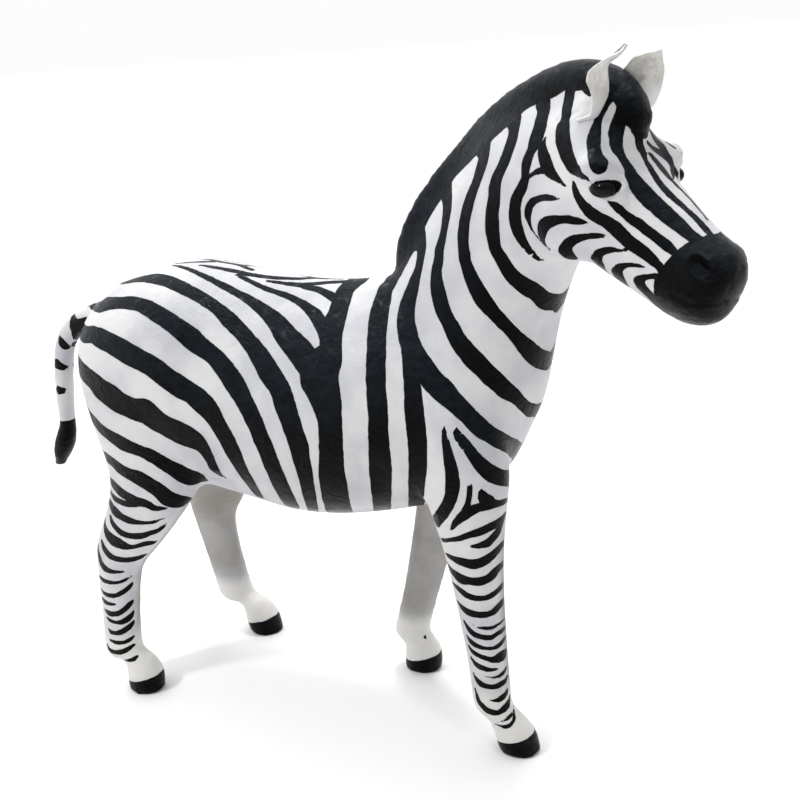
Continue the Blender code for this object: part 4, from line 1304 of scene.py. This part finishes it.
def eye_glass():
    """Opaque black glass with a little dust."""
    n = Nodes("eye_glass")
    dust = n.span(n.noise(120, 5.0, 0.6), 0.5, 0.8)
    tone = n.mix(dust, BLACK_GLASS, DUSTY_GLASS)
    rough = n.span(n.noise(90, 4.0), 0.35, 0.75, 0.04, 0.12)
    normal = n.bump(n.noise(30, 2.0), 0.0004, 0.1)
    n.shader.inputs["Specular IOR Level"].default_value = EYE_SHINE
    return n.finish(Base_Color=tone, Roughness=rough, Normal=normal)


def floor_paper():
    n = Nodes("floor_paper")
    tone = n.mix(n.noise(1.2, 2.0), PALE_PAPER, WHITE_PAPER)
    return n.finish(Base_Color=tone, Roughness=n.span(n.noise(3.0), 0.3, 0.7, 0.75, 0.9))


def dress(piece, material):
    piece.data.materials.clear()
    piece.data.materials.append(material)
    for polygon in piece.data.polygons:
        polygon.material_index = 0
        polygon.use_smooth = True


# Each lamp's name, place, aim, size in metres and power in watts.
LAMPS = (
    ("key", (-2.0, -2.1, 3.6), (0, 0, 0.7), 0.45, 66),
    ("top", (0.2, 1.0, 4.1), (0, 0, 0.6), 0.65, 58),
    ("front", (2.6, -1.6, 3.2), (0.4, 0, 0.8), 0.18, 11),
)
SKY_STRENGTH, SKY_SPREAD = 1.25, math.radians(60)
SKY_TILT = (math.radians(-8), math.radians(-24), 0)
FLOOR_SIZE = 400
BRIGHT_SIDE_LIFT = 0.9  # the bright side of the backdrop leans up by this
BACKDROP_RAMP = (-0.45, 0.75, 0.28, 0.98)


def set_stage():
    """A pale floor and a pale backdrop, bright above and behind the animal."""
    bpy.ops.object.select_all(action="DESELECT")
    bpy.ops.mesh.primitive_plane_add(size=FLOOR_SIZE)
    floor = bpy.context.active_object
    floor.name = "studio_floor"
    floor.data.materials.append(floor_paper())

    world = bpy.data.worlds.new("studio")
    world.use_nodes = True
    tree = world.node_tree
    background = tree.nodes["Background"]
    across = tree.nodes.new("ShaderNodeVectorMath")
    across.operation = "DOT_PRODUCT"
    across.inputs[1].default_value = Vector(-camera_axes()[2]) + Vector((0, 0, BRIGHT_SIDE_LIFT))
    tree.links.new(tree.nodes.new("ShaderNodeTexCoord").outputs["Generated"], across.inputs[0])
    ramp = tree.nodes.new("ShaderNodeMapRange")
    ramp.interpolation_type = "SMOOTHSTEP"
    for key, value in zip(("From Min", "From Max", "To Min", "To Max"), BACKDROP_RAMP):
        ramp.inputs[key].default_value = value
    tree.links.new(across.outputs["Value"], ramp.inputs["Value"])
    tree.links.new(ramp.outputs["Result"], background.inputs["Strength"])
    background.inputs["Color"].default_value = (1.0, 1.0, 1.0, 1.0)
    bpy.context.scene.world = world

    for name, place, aim, size, power in LAMPS:
        lamp = bpy.data.lights.new(name, "AREA")
        lamp.energy, lamp.size = power, size
        light = bpy.data.objects.new(name, lamp)
        light.location = place
        light.rotation_euler = (Vector(aim) - Vector(place)).to_track_quat("-Z", "Y").to_euler()
        bpy.context.scene.collection.objects.link(light)
    lamp = bpy.data.lights.new("sky", "SUN")
    lamp.energy, lamp.angle = SKY_STRENGTH, SKY_SPREAD
    light = bpy.data.objects.new("sky", lamp)
    light.rotation_euler = SKY_TILT
    bpy.context.scene.collection.objects.link(light)


def set_camera():
    bpy.context.scene.view_settings.view_transform = "Standard"
    lens = bpy.data.cameras.new("photo_view")
    lens.sensor_width, lens.lens = SENSOR_MM, SENSOR_MM * FOCAL_PX / PICTURE_PX
    lens.clip_start, lens.clip_end = CLIP_RANGE
    camera = bpy.data.objects.new("photo_view", lens)
    axes = Matrix([list(axis) for axis in camera_axes()]).transposed()
    camera.matrix_world = Matrix.Translation(Vector(lens_world())) @ axes.to_4x4()
    bpy.context.scene.collection.objects.link(camera)
    bpy.context.scene.camera = camera


def main():
    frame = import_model()
    nodes = frame["nodes"]
    cad_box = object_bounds()
    set_stage()
    set_camera()

    hide = make_skin(nodes["body"], [nodes[name] for name in nodes if name != "body"])
    photo = paint_hide(hide)
    make_grooves(hide, photo, cad_box)
    dress(hide, painted_hide())
    pieces = [(hide, "body", "painted_hide")]
    leather, glass = ear_leather(), eye_glass()
    for word, side in (("left", 1), ("right", -1)):
        ear = make_ear(f"{word}_ear_leaf", side)
        dress(ear, leather)
        eye = make_eye(f"{word}_eye_ball", side)
        dress(eye, glass)
        pieces += [(ear, f"{word}_ear", "ear_leather"), (eye, f"{word}_eye", "eye_glass")]
    for piece, node, slot in pieces:
        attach(piece, "root")
        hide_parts(node)


main()
